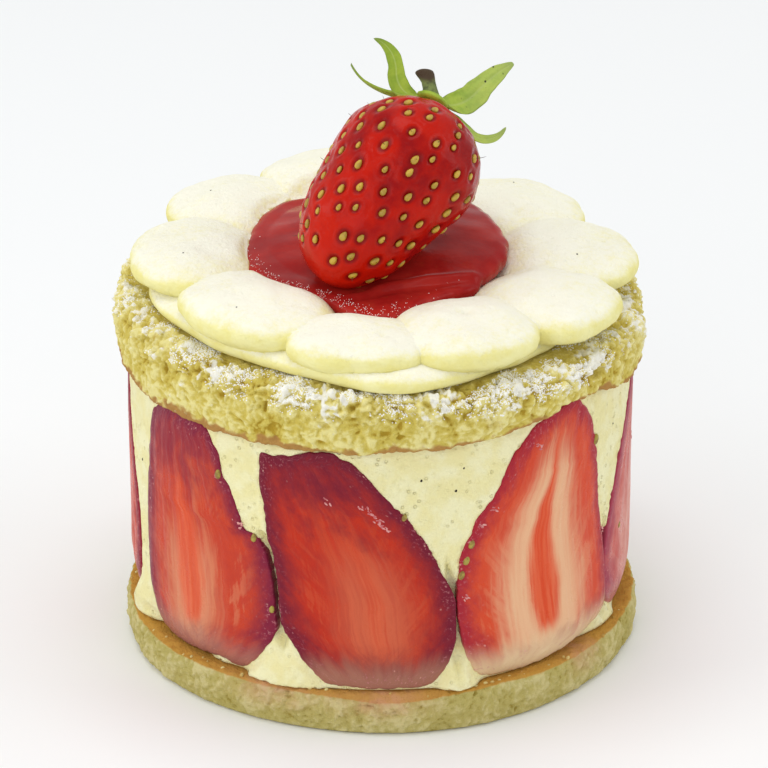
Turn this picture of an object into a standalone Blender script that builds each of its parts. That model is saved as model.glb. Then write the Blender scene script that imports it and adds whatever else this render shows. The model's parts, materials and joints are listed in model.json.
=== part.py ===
"""A small round strawberry cream cake, built in the order in which a pastry cook assembles it.

A disc of sponge carries a filling of vanilla cream. Halved strawberries stand round the filling with their
cut faces outwards, and a second disc of sponge closes it. On top lie a bed and petals of piped cream, a
pool of strawberry coulis and a whole strawberry with its calyx.

Metres, +Z up. The origin is the middle of the underside, and the front faces -Y. An angle round the cake is
counted in degrees from the front towards +X.
"""

import math

import bmesh
import bpy
from mathutils import Matrix, Vector, noise

# Driving sizes
RING_RADIUS = 0.0350  # inside of the ring that the cake is set in
BASE_RADIUS = 0.0363
BASE_HEIGHT = 0.0058
LID_RADIUS = 0.0366
FILLING_TOP = 0.0418
LID_TOP = 0.0508
GAP = 0.0003  # free space between one piece and the next

# Sponge
LID_TILT_X = -0.026  # rise of the upper sponge for each metre towards +X
LID_TILT_Y = 0.018
ROUND_SEGMENTS = 72
SEAM_START = 0.0250  # the joint between filling and upper sponge is level inside this radius
BASE_CRUMB = 0.0004
LID_CRUMB = 0.0011
CRUMB_SIZE = 0.0034
LID_EDGE_CRUMB = 0.0007  # roughness of the upper sponge's face at its edge, and further in
LID_FACE_CRUMB = 0.0003
FINE_CRUMB = 2.3  # the fine crumb is this many times finer than the coarse crumb
# share of the radius and of the height, from the foot of a disc to its face
BASE_PROFILE = ((0.985, 0.0), (1.0, 0.22), (1.005, 0.5), (1.0, 0.78), (0.985, 1.0), (0.93, 1.0))
LID_PROFILE = ((0.992, 0.04), (1.0, 0.22), (1.003, 0.42), (1.0, 0.62), (0.996, 0.8), (0.98, 0.95))
# share of the radius and roughness of the upper sponge's face
LID_FACE = ((0.93, LID_EDGE_CRUMB), (0.88, LID_FACE_CRUMB), (0.5, 0.0))

# Unevenness round the cake. Each row: waves in one turn, height, shift in radians.
BASE_WAVES = ((2, 0.006, 1.1), (5, 0.004, 0.0))  # shares of the radius
LID_WAVES = ((2, 0.007, 0.4), (3, 0.004, 0.0))  # shares of the radius
SEAM_WAVES = ((3, 0.0003, 0.6), (7, 0.0002, 0.0))
BED_WAVES = ((5, 0.0004, 0.0), (9, 0.0003, 1.0))
COULIS_WAVES = ((2, 0.0003, 2.2), (5, 0.0003, 0.5))

# Halved strawberries. Each row: angle, height of the middle, length, width, lean, narrowing to the tip and
# fullness, which fills the outline's corners out where it is below 1.
SLICES = (
    (-95.8, 0.0238, 0.0348, 0.0236, 9.0, 0.22, 0.84),
    (-48.4, 0.0239, 0.0350, 0.0240, 13.0, 0.16, 0.72),
    (-6.0, 0.0239, 0.0350, 0.0240, 17.0, 0.14, 0.76),
    (42.6, 0.0254, 0.0362, 0.0248, -13.0, 0.38, 0.88),
    (86.8, 0.0238, 0.0348, 0.0250, -7.0, 0.36, 0.84),
    (130.2, 0.0240, 0.0352, 0.0248, 6.0, 0.30, 0.80),
    (176.2, 0.0236, 0.0346, 0.0250, -9.0, 0.28, 0.86),
    (219.6, 0.0240, 0.0350, 0.0248, 7.0, 0.32, 0.80),
)
SLICE_DEPTH = 0.0085
SLICE_SEGMENTS = 20
# share of the outline, and share of the depth behind the cut face
SLICE_PROFILE = ((0.5, 0.0), (0.95, 0.0), (1.0, 0.13), (0.93, 0.5), (0.62, 0.85))
MOULD_REACH = 0.003  # the mould of a strawberry's pocket stands this far out of the filling
SLICE_PROUD = 0.0003
FOOT_HEIGHT = 0.0140  # below this height the cut faces draw in
FOOT_RECESS = 0.0016
TIP_LIFT_ANGLE = 46.0  # the upper sponge arches over the tallest strawberry here
TIP_LIFT_SPREAD = 17.0
TIP_LIFT = 0.0030

# Filling. Share of its height at each ring of its side.
FILLING_LEVELS = (0.0, 0.06, 0.16, 0.4, 0.7, 1.0)
FILLING_PLAY = 0.0001  # the cream stays this far inside the ring
FILLING_RELIEF = 0.00015
CREAM_ROLL = 0.62  # share of half a wave that the pressed out cream describes

# Cream pressed out at the foot of the filling. Each row: angle, half spread, height, reach.
CREAM_FEET = (
    (-73.0, 8.0, 0.0125, 0.0011),
    (-22.0, 9.0, 0.0100, 0.0009),
    (17.5, 9.0, 0.0095, 0.0010),
    (63.0, 7.0, 0.0090, 0.0007),
    (108.0, 8.0, 0.0100, 0.0009),
    (152.0, 8.0, 0.0095, 0.0009),
    (197.0, 8.0, 0.0100, 0.0009),
    (242.0, 8.0, 0.0105, 0.0009),
)

# Bed of cream on the upper sponge
BED_THICKNESS = 0.0019
BED_RADIUS = 0.0310
# where the bed spreads further: angle, half spread, reach
BED_LOBES = ((2.0, 24.0, 0.0046), (-88.0, 26.0, 0.0012))
# share of the radius and of the thickness
BED_PROFILE = ((0.97, 0.0), (1.0, 0.4), (0.985, 0.8), (0.94, 1.0), (0.6, 1.0))
BED_SEGMENTS = 36

# Piped petals. Each row: angle, radius of the outer end, length, width, height above the sponge.
PETALS = (
    (-88.0, 0.0345, 0.0212, 0.0216, 0.0070),
    (-43.0, 0.0334, 0.0205, 0.0214, 0.0072),
    (-6.0, 0.0345, 0.0168, 0.0190, 0.0064),
    (25.5, 0.0352, 0.0206, 0.0196, 0.0072),
    (59.0, 0.0362, 0.0222, 0.0190, 0.0070),
    (96.0, 0.0358, 0.0226, 0.0206, 0.0070),
    (134.0, 0.0352, 0.0222, 0.0210, 0.0068),
    (170.0, 0.0350, 0.0216, 0.0196, 0.0078),
    (198.0, 0.0346, 0.0216, 0.0180, 0.0084),
    (231.0, 0.0352, 0.0220, 0.0204, 0.0070),
)
PETAL_TAPER = 0.16  # a petal narrows by this share from its middle to its inner end
PETAL_FULLNESS = 0.9  # below 1 fills the corners of its cross section
PETAL_END = 0.42  # below 0.5 blunts its ends
PETAL_DROP = 0.5  # a petal's back falls away by this share at its inner end
PETAL_FOOT = 0.0003  # lowest point of a petal above the underside of the bed
PETAL_SEGMENTS = 12
PETAL_RINGS = 5

# Coulis
COULIS_CENTRE = Vector((-0.0008, 0.0002, 0.0))
COULIS_MOUND = Vector((0.0022, 0.0022, 0.0))  # where the pool is highest
COULIS_RADIUS = 0.0180
COULIS_FLOOR = 0.0531
COULIS_EDGE = 0.0571
COULIS_CROWN = 0.0596
COULIS_SLOPE = 0.02  # rise of the pool for each metre towards the back
# where the pool runs out further: angle, half spread, reach
COULIS_LOBES = ((1.0, 15.0, 0.0046), (45.0, 8.0, 0.0010), (146.0, 26.0, 0.0016), (-144.0, 24.0, 0.0020))
# share of the radius, and share of the way from the floor to the top
COULIS_PROFILE = (
    (0.88, 0.0), (0.975, 0.4), (1.0, 0.72), (0.98, 0.92), (0.93, 1.0), (0.76, 1.0), (0.55, 1.0), (0.3, 1.0),
)
COULIS_SEGMENTS = 36

# Whole strawberry
BERRY_TIP = Vector((-0.00835, -0.0150, 0.05885))
BERRY_CROWN = Vector((0.0099, -0.0002, 0.07645))
BERRY_BEND = Vector((0.00035, 0.00044, 0.0))  # the middle of the berry lies this far off its axis
# share of the way from tip to crown, and radius there
BERRY_PROFILE = (
    (0.0, 0.0008), (0.02, 0.0030), (0.06, 0.0047), (0.13, 0.0063), (0.22, 0.0077), (0.34, 0.0085),
    (0.47, 0.00935), (0.6, 0.0100), (0.72, 0.0102), (0.82, 0.0090), (0.89, 0.0075), (0.94, 0.0056),
    (0.975, 0.0045), (1.0, 0.0020),
)
BERRY_LOBES = ((2, 0.025, 2.27), (3, 0.02, 1.57))  # unevenness, as round the cake: shares of the radius
CROWN_HOLLOW = 0.0006  # the stalk end is sunk by this much
HOLLOW_START = 0.93
BERRY_SEGMENTS = 22
SEED_COUNT = 82
SEED_SIZE = (0.0008, 0.00055, 0.00042)  # half length, half width, half thickness
SEED_SINK = 0.00006
SEED_FLAT = 0.35  # share of the half thickness at which a seed is widest
FIRST_SEED = 0.05  # share of the berry's length at the first seed, and the range that the seeds cover
SEED_RANGE = 0.87
SEED_CROWDING = 0.88  # below 1 the seeds stand closer together near the tip

# Calyx. Each row: angle round the stalk, length, width, slopes at foot, middle and tip, roll of the leaf.
SEPALS = (
    (151.0, 0.0155, 0.0020, -15.9, 9.6, 40.1, 0.0),
    (155.3, 0.0150, 0.0028, -19.6, 63.9, 5.3, -80.0),
    (40.5, 0.0150, 0.0042, 14.5, 72.1, 52.7, 66.0),
    (34.7, 0.0135, 0.0023, -3.7, -10.7, 89.0, 55.0),
    (64.0, 0.0094, 0.0030, 2.0, -20.0, -12.0, 0.0),
    (90.0, 0.0098, 0.0032, 4.0, -22.0, -16.0, 0.0),
    (118.0, 0.0090, 0.0028, 2.0, -18.0, -6.0, 0.0),
)
CALYX_SHIFT = Vector((-0.0034, 0, -0.0002))  # the stalk grows off the middle of the crown
CALYX_TILT = -14.0  # degrees that the calyx leans with the berry's shoulder
SEPAL_STEPS = 8
SEPAL_THICKNESS = 0.00045
SEPAL_RIDGE = (0.5, 0.9, 0.35)  # shares of the thickness at the edges, below the midrib and above it
SEPAL_WAVE = 0.08  # share of the width by which a sepal waves
SEPAL_ROLL_END = 0.3  # a sepal has its whole roll from this share of its length on
CROWN_RADIUS = 0.0023
# share of the crown's radius, and height
CROWN_PROFILE = ((0.8, 0.0), (1.0, 0.0005), (0.55, 0.0011))
CROWN_HEIGHT = 0.0013
CROWN_SEGMENTS = 14
STALK_LENGTH = 0.0041
STALK_RADIUS = 0.00075
STALK_FOOT = 0.0005
STALK_LEAN = Vector((-0.75, 0.1, 1.0)).normalized()
# share of the stalk's length, and share of its radius
STALK_PROFILE = ((0.0, 1.3), (0.4, 0.9), (1.0, 1.1))
STALK_SEGMENTS = 8
STALK_END = 1.03  # the cut end bulges to this share of the length

TURN = 2 * math.pi


def clear_scene():
    """An empty scene to model in."""
    for old in list(bpy.data.objects):
        bpy.data.objects.remove(old, do_unlink=True)


def finish(name, colour, roughness):
    """A plain material with the colour and roughness of one ingredient."""
    material = bpy.data.materials.new(name)
    material.use_nodes = True
    shader = material.node_tree.nodes["Principled BSDF"]
    shader.inputs["Base Color"].default_value = (*colour, 1.0)
    shader.inputs["Roughness"].default_value = roughness
    return material


def closed_skin(name, first, rings, last, material):
    """One closed surface over rings of equally many points, with a point that closes each end."""
    shell = bmesh.new()
    start = shell.verts.new(first)
    loops = [[shell.verts.new(point) for point in ring] for ring in rings]
    end = shell.verts.new(last)
    count = len(loops[0])
    for i in range(count):
        j = (i + 1) % count
        shell.faces.new((start, loops[0][j], loops[0][i]))
        shell.faces.new((end, loops[-1][i], loops[-1][j]))
        for low, high in zip(loops, loops[1:]):
            shell.faces.new((low[i], low[j], high[j], high[i]))
    bmesh.ops.triangulate(shell, faces=shell.faces)
    bmesh.ops.recalc_face_normals(shell, faces=shell.faces)
    mesh = bpy.data.meshes.new(name)
    shell.to_mesh(mesh)
    shell.free()
    mesh.materials.append(material)
    piece = bpy.data.objects.new(name, mesh)
    bpy.context.scene.collection.objects.link(piece)
    mesh.shade_smooth()
    mesh.set_sharp_from_angle(angle=math.radians(40))
    return piece


def boolean(piece, tools, operation, solver="MANIFOLD"):
    """Joins the tools to a piece or cuts them from it, applies the result and removes the tools."""
    held = bpy.data.collections.new("tools")
    for tool in tools:
        bpy.context.scene.collection.objects.unlink(tool)
        held.objects.link(tool)
    modifier = piece.modifiers.new("boolean", "BOOLEAN")
    modifier.operation = operation
    modifier.operand_type = "COLLECTION"
    modifier.collection = held
    modifier.solver = solver
    graph = bpy.context.evaluated_depsgraph_get()
    result = bpy.data.meshes.new_from_object(piece.evaluated_get(graph))
    piece.modifiers.remove(modifier)
    piece.data = result
    for tool in tools:
        bpy.data.objects.remove(tool, do_unlink=True)
    bpy.data.collections.remove(held)
    return piece


def around(angle, radius, height):
    """The point at an angle in radians, a radius and a height on the cake."""
    return Vector((radius * math.sin(angle), -radius * math.cos(angle), height))


def turned(count):
    """Equally spaced angles for one turn."""
    return [TURN * i / count for i in range(count)]


def circle(radius, count, height=0.0):
    """Equally spaced points on a level circle."""
    return [Vector((radius * math.cos(a), radius * math.sin(a), height)) for a in turned(count)]


def bump(angle, centre, spread):
    """A smooth bump of height 1 round an angle; centre and half spread are in degrees."""
    away = (math.degrees(angle) - centre + 180) % 360 - 180
    return math.exp(-((away / spread) ** 2))


def waves(angle, rows):
    """Unevenness at an angle: the sum of rows of waves, height and shift."""
    return sum(height * math.sin(count * angle + shift) for count, height, shift in rows)


def lobes(angle, rows):
    """How far rows of centre, half spread and reach stand out at an angle."""
    return sum(reach * bump(angle, centre, spread) for centre, spread, reach in rows)


def crumb(point, depth):
    """Open crumb: how far the torn face of a sponge stands out at a point."""
    coarse = noise.noise(point / CRUMB_SIZE)
    fine = noise.noise(point * FINE_CRUMB / CRUMB_SIZE + Vector((3.1, 7.7, 1.3)))
    return depth * (0.7 * coarse + 0.5 * fine)


def seam(angle, radius):
    """Height of the joint between filling and upper sponge: wavy at the rim, arched over a tall berry."""
    arch = TIP_LIFT * bump(angle, TIP_LIFT_ANGLE, TIP_LIFT_SPREAD)
    share = min(1.0, max(0.0, (radius - SEAM_START) / (RING_RADIUS - SEAM_START)))
    return FILLING_TOP + (waves(angle, SEAM_WAVES) + arch) * share


def lid_face(x, y):
    """Height of the upper sponge's top face, which isn't quite level."""
    return LID_TOP + LID_TILT_X * x + LID_TILT_Y * y


def base_sponge(material):
    """The lower disc: a cut side with fine crumb, a rounded foot and a flat underside."""
    rings = []
    for share, level in BASE_PROFILE:
        on_face = share == BASE_PROFILE[-1][0]
        ring = []
        for angle in turned(ROUND_SEGMENTS):
            outline = 1 + waves(angle, BASE_WAVES)
            point = around(angle, BASE_RADIUS * share * outline, BASE_HEIGHT * level)
            relief = 0.0 if on_face else crumb(point, BASE_CRUMB)
            ring.append(point + around(angle, relief, 0))
        rings.append(ring)
    return closed_skin("base_sponge", (0, 0, 0), rings, (0, 0, BASE_HEIGHT), material)


def face_radius(height):
    """Radius of the cut faces: they follow the ring and draw in towards the foot."""
    drawn = max(0.0, 1 - (height - BASE_HEIGHT) / (FOOT_HEIGHT - BASE_HEIGHT))
    return RING_RADIUS + SLICE_PROUD - FOOT_RECESS * drawn**2


def slice_outline(angle, length, width, taper, fullness):
    """A point of a halved strawberry's outline, across and along it; 0 is the stalk end."""
    along = -math.cos(angle)
    swell = math.copysign(abs(math.sin(angle)) ** fullness, math.sin(angle))
    across = swell * (1 - taper * along)
    return width / 2 * across, length / 2 * along


def slice_skin(name, row, material, grow=0.0, reach=0.0):
    """A halved strawberry on the ring. The mould of its pocket is grown all round and reaches outwards."""
    angle, height, length, width, lean, taper, fullness = row
    centre = math.radians(angle)
    slant = math.tan(math.radians(lean))

    def place(across, along, share, depth):
        z = height + along * share
        aside = (across - along * slant) * share
        return around(centre + aside / RING_RADIUS, face_radius(z) - depth, z)

    rings = []
    for share, behind in SLICE_PROFILE:
        depth = behind * (SLICE_DEPTH + grow) if behind else -reach
        ring = []
        for step in turned(SLICE_SEGMENTS):
            across, along = slice_outline(step, length + 2 * grow, width + 2 * grow, taper, fullness)
            ring.append(place(across, along, share, depth))
        rings.append(ring)
    front = place(0, 0, 0, -reach)
    back = place(0, 0, 0, SLICE_DEPTH + grow)
    return closed_skin(name, front, rings, back, material)


def filling_radius(angle, height):
    """Radius of the cream between the berries: it follows the ring and is pressed out at the foot."""
    radius = RING_RADIUS - FILLING_PLAY + FILLING_RELIEF * noise.noise(around(angle, 9.0, height * 300))
    for centre, spread, top, out in CREAM_FEET:
        low = max(0.0, min(1.0, (top - height) / (top - BASE_HEIGHT)))
        radius += out * bump(angle, centre, spread) * math.sin(math.pi * low * CREAM_ROLL)
    return radius


def cream_filling(cream, berry):
    """The cream inside the ring, with a pocket for each halved strawberry."""
    floor = BASE_HEIGHT + GAP
    rings = []
    for level in FILLING_LEVELS:
        ring = []
        for angle in turned(ROUND_SEGMENTS):
            z = floor + (seam(angle, RING_RADIUS) - floor) * level
            ring.append(around(angle, filling_radius(angle, z), z))
        rings.append(ring)
    rings.append([around(angle, SEAM_START, FILLING_TOP) for angle in turned(ROUND_SEGMENTS)])
    body = closed_skin("cream_filling", (0, 0, floor), rings, (0, 0, FILLING_TOP), cream)
    moulds = [
        slice_skin(f"mould_{i}", row, berry, grow=GAP, reach=MOULD_REACH) for i, row in enumerate(SLICES)
    ]
    return boolean(body, moulds, "DIFFERENCE")


def top_sponge(material):
    """The upper disc: torn, open crumb at its side and rim, and a face that carries the cream."""
    rings = []
    for radius in (SEAM_START, RING_RADIUS):
        rings.append([around(a, radius, seam(a, radius) + GAP) for a in turned(ROUND_SEGMENTS)])
    for share, level in LID_PROFILE:
        at_edge = share == LID_PROFILE[-1][0]
        ring = []
        for angle in turned(ROUND_SEGMENTS):
            outline = 1 + waves(angle, LID_WAVES)
            low = seam(angle, RING_RADIUS) + GAP
            flat = around(angle, LID_RADIUS * share, 0)
            z = low + (lid_face(flat.x, flat.y) - low) * level
            point = around(angle, LID_RADIUS * share * outline, z)
            side = crumb(point, LID_CRUMB)
            drop = crumb(point.yzx, LID_CRUMB) if at_edge else 0.0
            ring.append(point + around(angle, side, drop))
        rings.append(ring)
    for share, rough in LID_FACE:
        ring = []
        for angle in turned(ROUND_SEGMENTS):
            flat = around(angle, LID_RADIUS * share, 0)
            sunk = abs(crumb(flat, rough))
            ring.append(Vector((flat.x, flat.y, lid_face(flat.x, flat.y) - sunk)))
        rings.append(ring)
    return closed_skin("top_sponge", (0, 0, FILLING_TOP + GAP), rings, (0, 0, LID_TOP), material)


def cream_bed(material):
    """The flat bed of cream under the petals, which spreads to the rim at the front."""
    rings = []
    for share, level in BED_PROFILE:
        ring = []
        for angle in turned(BED_SEGMENTS):
            spread = BED_RADIUS + lobes(angle, BED_LOBES) + waves(angle, BED_WAVES)
            flat = around(angle, spread * share, 0)
            z = lid_face(flat.x, flat.y) + GAP + BED_THICKNESS * level
            ring.append(Vector((flat.x, flat.y, z)))
        rings.append(ring)
    top = LID_TOP + GAP + BED_THICKNESS
    return closed_skin("piped_cream", (0, 0, LID_TOP + GAP), rings, (0, 0, top), material)


def petal(name, row, material):
    """One piped petal: a full outer lobe that the nozzle draws out towards the middle."""
    angle, outer, length, width, height = row
    heading = math.radians(angle)
    middle = (height + PETAL_FOOT) / 2
    rings = []

    def place(along, aside, lift):
        point = around(heading, outer - along, 0)
        point += aside * Vector((math.cos(heading), math.sin(heading), 0))
        return Vector((point.x, point.y, lid_face(point.x, point.y) + GAP + lift))

    def full(value):
        return math.copysign(abs(value) ** PETAL_FULLNESS, value)

    for i in range(1, PETAL_RINGS + 1):
        way = math.cos(math.pi * i / (PETAL_RINGS + 1))
        swell = (1 - way**2) ** PETAL_END
        drop = 1 - PETAL_DROP * min(0.0, way) ** 2
        ring = []
        for step in turned(PETAL_SEGMENTS):
            aside = width / 2 * full(math.cos(step)) * swell * (1 + PETAL_TAPER * way)
            lift = (middle + (height - middle) * full(math.sin(step)) * swell) * drop
            ring.append(place((1 - way) / 2 * length, aside, lift))
        rings.append(ring)
    inner_end = place(length, 0, middle * (1 - PETAL_DROP))
    return closed_skin(name, place(0, 0, middle), rings, inner_end, material)


def coulis_skin(name, material, grow=0.0):
    """The pool of thick coulis: a rounded edge and a low mound up to the berry that stands in it."""
    rings = []
    floor = COULIS_FLOOR - grow
    for share, level in COULIS_PROFILE:
        ring = []
        for angle in turned(COULIS_SEGMENTS):
            outline = COULIS_RADIUS + lobes(angle, COULIS_LOBES) + waves(angle, COULIS_WAVES)
            flat = COULIS_CENTRE + around(angle, outline * share + grow, 0)
            mound = max(0.0, 1 - ((flat - COULIS_MOUND).length / COULIS_RADIUS) ** 2)
            top = COULIS_EDGE + (COULIS_CROWN - COULIS_EDGE) * mound + COULIS_SLOPE * flat.y + grow
            ring.append(Vector((flat.x, flat.y, floor + (top - floor) * level)))
        rings.append(ring)
    bottom = Vector((COULIS_CENTRE.x, COULIS_CENTRE.y, floor))
    top = Vector((COULIS_MOUND.x, COULIS_MOUND.y, COULIS_CROWN + grow))
    return closed_skin(name, bottom, rings, top, material)


def berry_frame():
    """The berry's own frame: its axis from tip to crown is Z, its origin is the tip."""
    axis = (BERRY_CROWN - BERRY_TIP).normalized()
    side = Vector((0, 0, 1)).cross(axis).normalized()
    matrix = Matrix((side, axis.cross(side), axis)).transposed().to_4x4()
    matrix.translation = BERRY_TIP
    return matrix


def profile_radius(share):
    """The berry's radius at a share of its length, read from the profile."""
    for (low, narrow), (high, wide) in zip(BERRY_PROFILE, BERRY_PROFILE[1:]):
        if share <= high:
            return narrow + (wide - narrow) * max(0.0, share - low) / (high - low)
    return BERRY_PROFILE[-1][1]


def berry_point(share, angle):
    """A point of the berry's skin in its own frame, from the tip at share 0 to the crown at share 1."""
    length = (BERRY_CROWN - BERRY_TIP).length
    radius = profile_radius(share) * (1 + waves(angle, BERRY_LOBES))
    sunk = CROWN_HOLLOW * max(0.0, share - HOLLOW_START) / (1 - HOLLOW_START)
    middle = BERRY_BEND * math.sin(math.pi * min(1.0, max(0.0, share)))
    return middle + Vector((radius * math.cos(angle), radius * math.sin(angle), length * share - sunk))


def berry_directions(share, angle):
    """The ways along, across and out of the berry's skin at a point."""
    along = (berry_point(share + 0.01, angle) - berry_point(share - 0.01, angle)).normalized()
    aside = (berry_point(share, angle + 0.02) - berry_point(share, angle - 0.02)).normalized()
    return along, aside, aside.cross(along).normalized()


def berry_skin(name, material, grow=0.0):
    """The smooth body of the whole strawberry."""
    frame = berry_frame()
    rings = []
    for share, _ in BERRY_PROFILE:
        ring = []
        for angle in turned(BERRY_SEGMENTS):
            out = berry_directions(share, angle)[2]
            ring.append(frame @ (berry_point(share, angle) + out * grow))
        rings.append(ring)
    tip = frame @ Vector((0, 0, -grow))
    crown = BERRY_CROWN + frame.to_3x3() @ Vector((0, 0, grow - CROWN_HOLLOW))
    return closed_skin(name, tip, rings, crown, material)


def seed(name, share, angle, material):
    """One seed, a small pointed oval that lies along the berry, half sunk in its skin."""
    along, aside, out = berry_directions(share, angle)
    middle = berry_point(share, angle) - out * SEED_SINK
    half_length, half_width, half_thick = SEED_SIZE
    frame = berry_frame()
    ring = []
    for step in turned(6):
        offset = along * half_length * math.cos(step) + aside * half_width * math.sin(step)
        ring.append(frame @ (middle + offset + out * half_thick * SEED_FLAT))
    low, high = frame @ (middle - out * half_thick), frame @ (middle + out * half_thick)
    return closed_skin(name, low, [ring], high, material)


def whole_strawberry(material):
    """The berry with its seeds, which follow the golden angle round it and keep off the buried flank."""
    body = berry_skin("whole_strawberry", material)
    golden = math.pi * (3 - math.sqrt(5))
    seeds = []
    for i in range(SEED_COUNT):
        share = FIRST_SEED + SEED_RANGE * ((i + 0.5) / SEED_COUNT) ** SEED_CROWDING
        seeds.append(seed(f"seed_{i}", share, i * golden, material))
    return boolean(body, seeds, "UNION")


def crown_frame():
    """The frame of the calyx: the origin is on the crown, Z is the stalk's way, X points to the right."""
    axis = (BERRY_CROWN - BERRY_TIP).normalized()
    back = axis.cross(Vector((1, 0, 0))).normalized()
    matrix = Matrix((back.cross(axis), back, axis)).transposed().to_4x4()
    matrix.translation = BERRY_CROWN + axis * (GAP - CROWN_HOLLOW) + matrix.to_3x3() @ CALYX_SHIFT
    return matrix @ Matrix.Rotation(math.radians(CALYX_TILT), 4, "Y")


def sepal(name, row, material):
    """One sepal: a thin pointed leaf with a raised midrib, which bends on its way out from the crown."""
    angle, length, width, foot, middle_slope, tip, roll = row
    frame = crown_frame() @ Matrix.Rotation(math.radians(angle), 4, "Z")
    edge, below, above = SEPAL_RIDGE
    spine = [Vector((CROWN_RADIUS * 0.35, 0, SEPAL_THICKNESS))]
    for i in range(SEPAL_STEPS):
        way = (i + 0.5) / SEPAL_STEPS
        low = foot + (middle_slope - foot) * 2 * way
        high = middle_slope + (tip - middle_slope) * (2 * way - 1)
        slope = math.radians(low if way < 0.5 else high)
        spine.append(spine[-1] + Vector((math.cos(slope), 0, math.sin(slope))) * length / SEPAL_STEPS)
    rings = []
    for i in range(1, SEPAL_STEPS):
        way = i / SEPAL_STEPS
        ahead = (spine[i + 1] - spine[i - 1]).normalized()
        rolled = Matrix.Rotation(math.radians(roll * min(1.0, way / SEPAL_ROLL_END)), 3, ahead)
        across = rolled @ Vector((0, 1, 0))
        out = rolled @ ahead.cross(Vector((0, 1, 0))).normalized()
        half = width / 2 * min(1.0, 0.5 + 1.2 * way) * (1 - way**2.2) ** 0.7
        thick = SEPAL_THICKNESS * (1 - 0.6 * way)
        wave = SEPAL_WAVE * width * math.sin(5 * way + i)
        middle = spine[i] + out * wave
        ring = [
            middle + across * half + out * thick * edge,
            middle - out * thick * below,
            middle - across * half + out * thick * edge,
            middle + out * thick * above,
        ]
        rings.append([frame @ point for point in ring])
    return closed_skin(name, frame @ spine[0], rings, frame @ spine[-1], material)


def calyx(material):
    """The crown with its sepals and the short cut stalk, one piece of leaf."""
    frame = crown_frame()
    button = []
    for share, height in CROWN_PROFILE:
        button.append([frame @ point for point in circle(CROWN_RADIUS * share, CROWN_SEGMENTS, height)])
    body = closed_skin("calyx", frame.translation, button, frame @ Vector((0, 0, CROWN_HEIGHT)), material)
    upright = STALK_LEAN.to_track_quat("Z", "Y")
    foot = Vector((0, 0, STALK_FOOT))
    stalk = []
    for way, share in STALK_PROFILE:
        middle = foot + STALK_LEAN * STALK_LENGTH * way
        ring = circle(STALK_RADIUS * share, STALK_SEGMENTS)
        stalk.append([frame @ (middle + upright @ point) for point in ring])
    end = frame @ (foot + STALK_LEAN * STALK_LENGTH * STALK_END)
    parts = [closed_skin("stalk", frame @ foot, stalk, end, material)]
    parts += [sepal(f"sepal_{i}", row, material) for i, row in enumerate(SEPALS)]
    return boolean(body, parts, "UNION")


def build():
    """The whole cake, from the base up."""
    clear_scene()
    sponge = finish("sponge", (0.70, 0.60, 0.28), 0.9)
    cream = finish("cream", (0.91, 0.85, 0.60), 0.5)
    berry = finish("strawberry flesh", (0.62, 0.07, 0.05), 0.3)
    sauce = finish("strawberry coulis", (0.42, 0.02, 0.03), 0.12)
    leaf = finish("strawberry leaf", (0.27, 0.42, 0.08), 0.55)

    base_sponge(sponge)
    cream_filling(cream, berry)
    for i, row in enumerate(SLICES):
        slice_skin(f"strawberry_slice_{i + 1}", row, berry)
    top_sponge(sponge)
    topping = cream_bed(cream)
    petals = [petal(f"petal_{i}", row, cream) for i, row in enumerate(PETALS)]
    boolean(topping, petals, "UNION")
    boolean(topping, [coulis_skin("coulis_mould", sauce, grow=GAP)], "DIFFERENCE")
    boolean(topping, [berry_skin("berry_mould", berry, grow=GAP + SEED_SIZE[2])], "DIFFERENCE")
    pool = coulis_skin("strawberry_coulis", sauce)
    boolean(pool, [berry_skin("berry_mould", berry, grow=GAP + SEED_SIZE[2])], "DIFFERENCE")
    whole_strawberry(berry)
    calyx(leaf)


build()
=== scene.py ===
"""A small round strawberry cream cake, dressed in the order in which a pastry cook assembles it."""

import itertools
import json
import math

import bmesh
import bpy
import numpy as np
from mathutils import Matrix, Vector
from mathutils.bvhtree import BVHTree

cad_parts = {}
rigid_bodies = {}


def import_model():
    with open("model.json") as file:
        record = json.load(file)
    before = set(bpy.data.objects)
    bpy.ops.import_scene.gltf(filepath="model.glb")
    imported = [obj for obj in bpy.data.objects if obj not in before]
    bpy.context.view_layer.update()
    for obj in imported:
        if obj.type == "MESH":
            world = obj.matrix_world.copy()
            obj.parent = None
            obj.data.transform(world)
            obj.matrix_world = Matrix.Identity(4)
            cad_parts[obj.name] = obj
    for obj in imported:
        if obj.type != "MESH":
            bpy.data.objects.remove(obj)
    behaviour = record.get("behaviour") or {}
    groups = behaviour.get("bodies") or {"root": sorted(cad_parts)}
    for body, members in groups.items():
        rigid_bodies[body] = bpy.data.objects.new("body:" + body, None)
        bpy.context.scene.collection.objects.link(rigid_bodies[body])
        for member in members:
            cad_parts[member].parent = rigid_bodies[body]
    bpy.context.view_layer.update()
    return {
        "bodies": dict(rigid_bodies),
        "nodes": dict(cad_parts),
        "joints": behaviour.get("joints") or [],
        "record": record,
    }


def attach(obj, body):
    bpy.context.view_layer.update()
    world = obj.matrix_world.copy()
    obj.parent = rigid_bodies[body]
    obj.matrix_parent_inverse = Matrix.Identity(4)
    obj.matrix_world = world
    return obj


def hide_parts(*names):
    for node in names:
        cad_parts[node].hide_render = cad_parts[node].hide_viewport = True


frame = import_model()
scene = bpy.context.scene

# Lower sponge
# A disc of plain baked sponge, cut with a ring from a thin sheet. Its cut side shows fine open crumb, and its
# top keeps the golden baked skin, which stands out as a ledge round the filling.
BASE_RADIUS = 0.0363
BASE_HEIGHT = 0.0058
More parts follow.
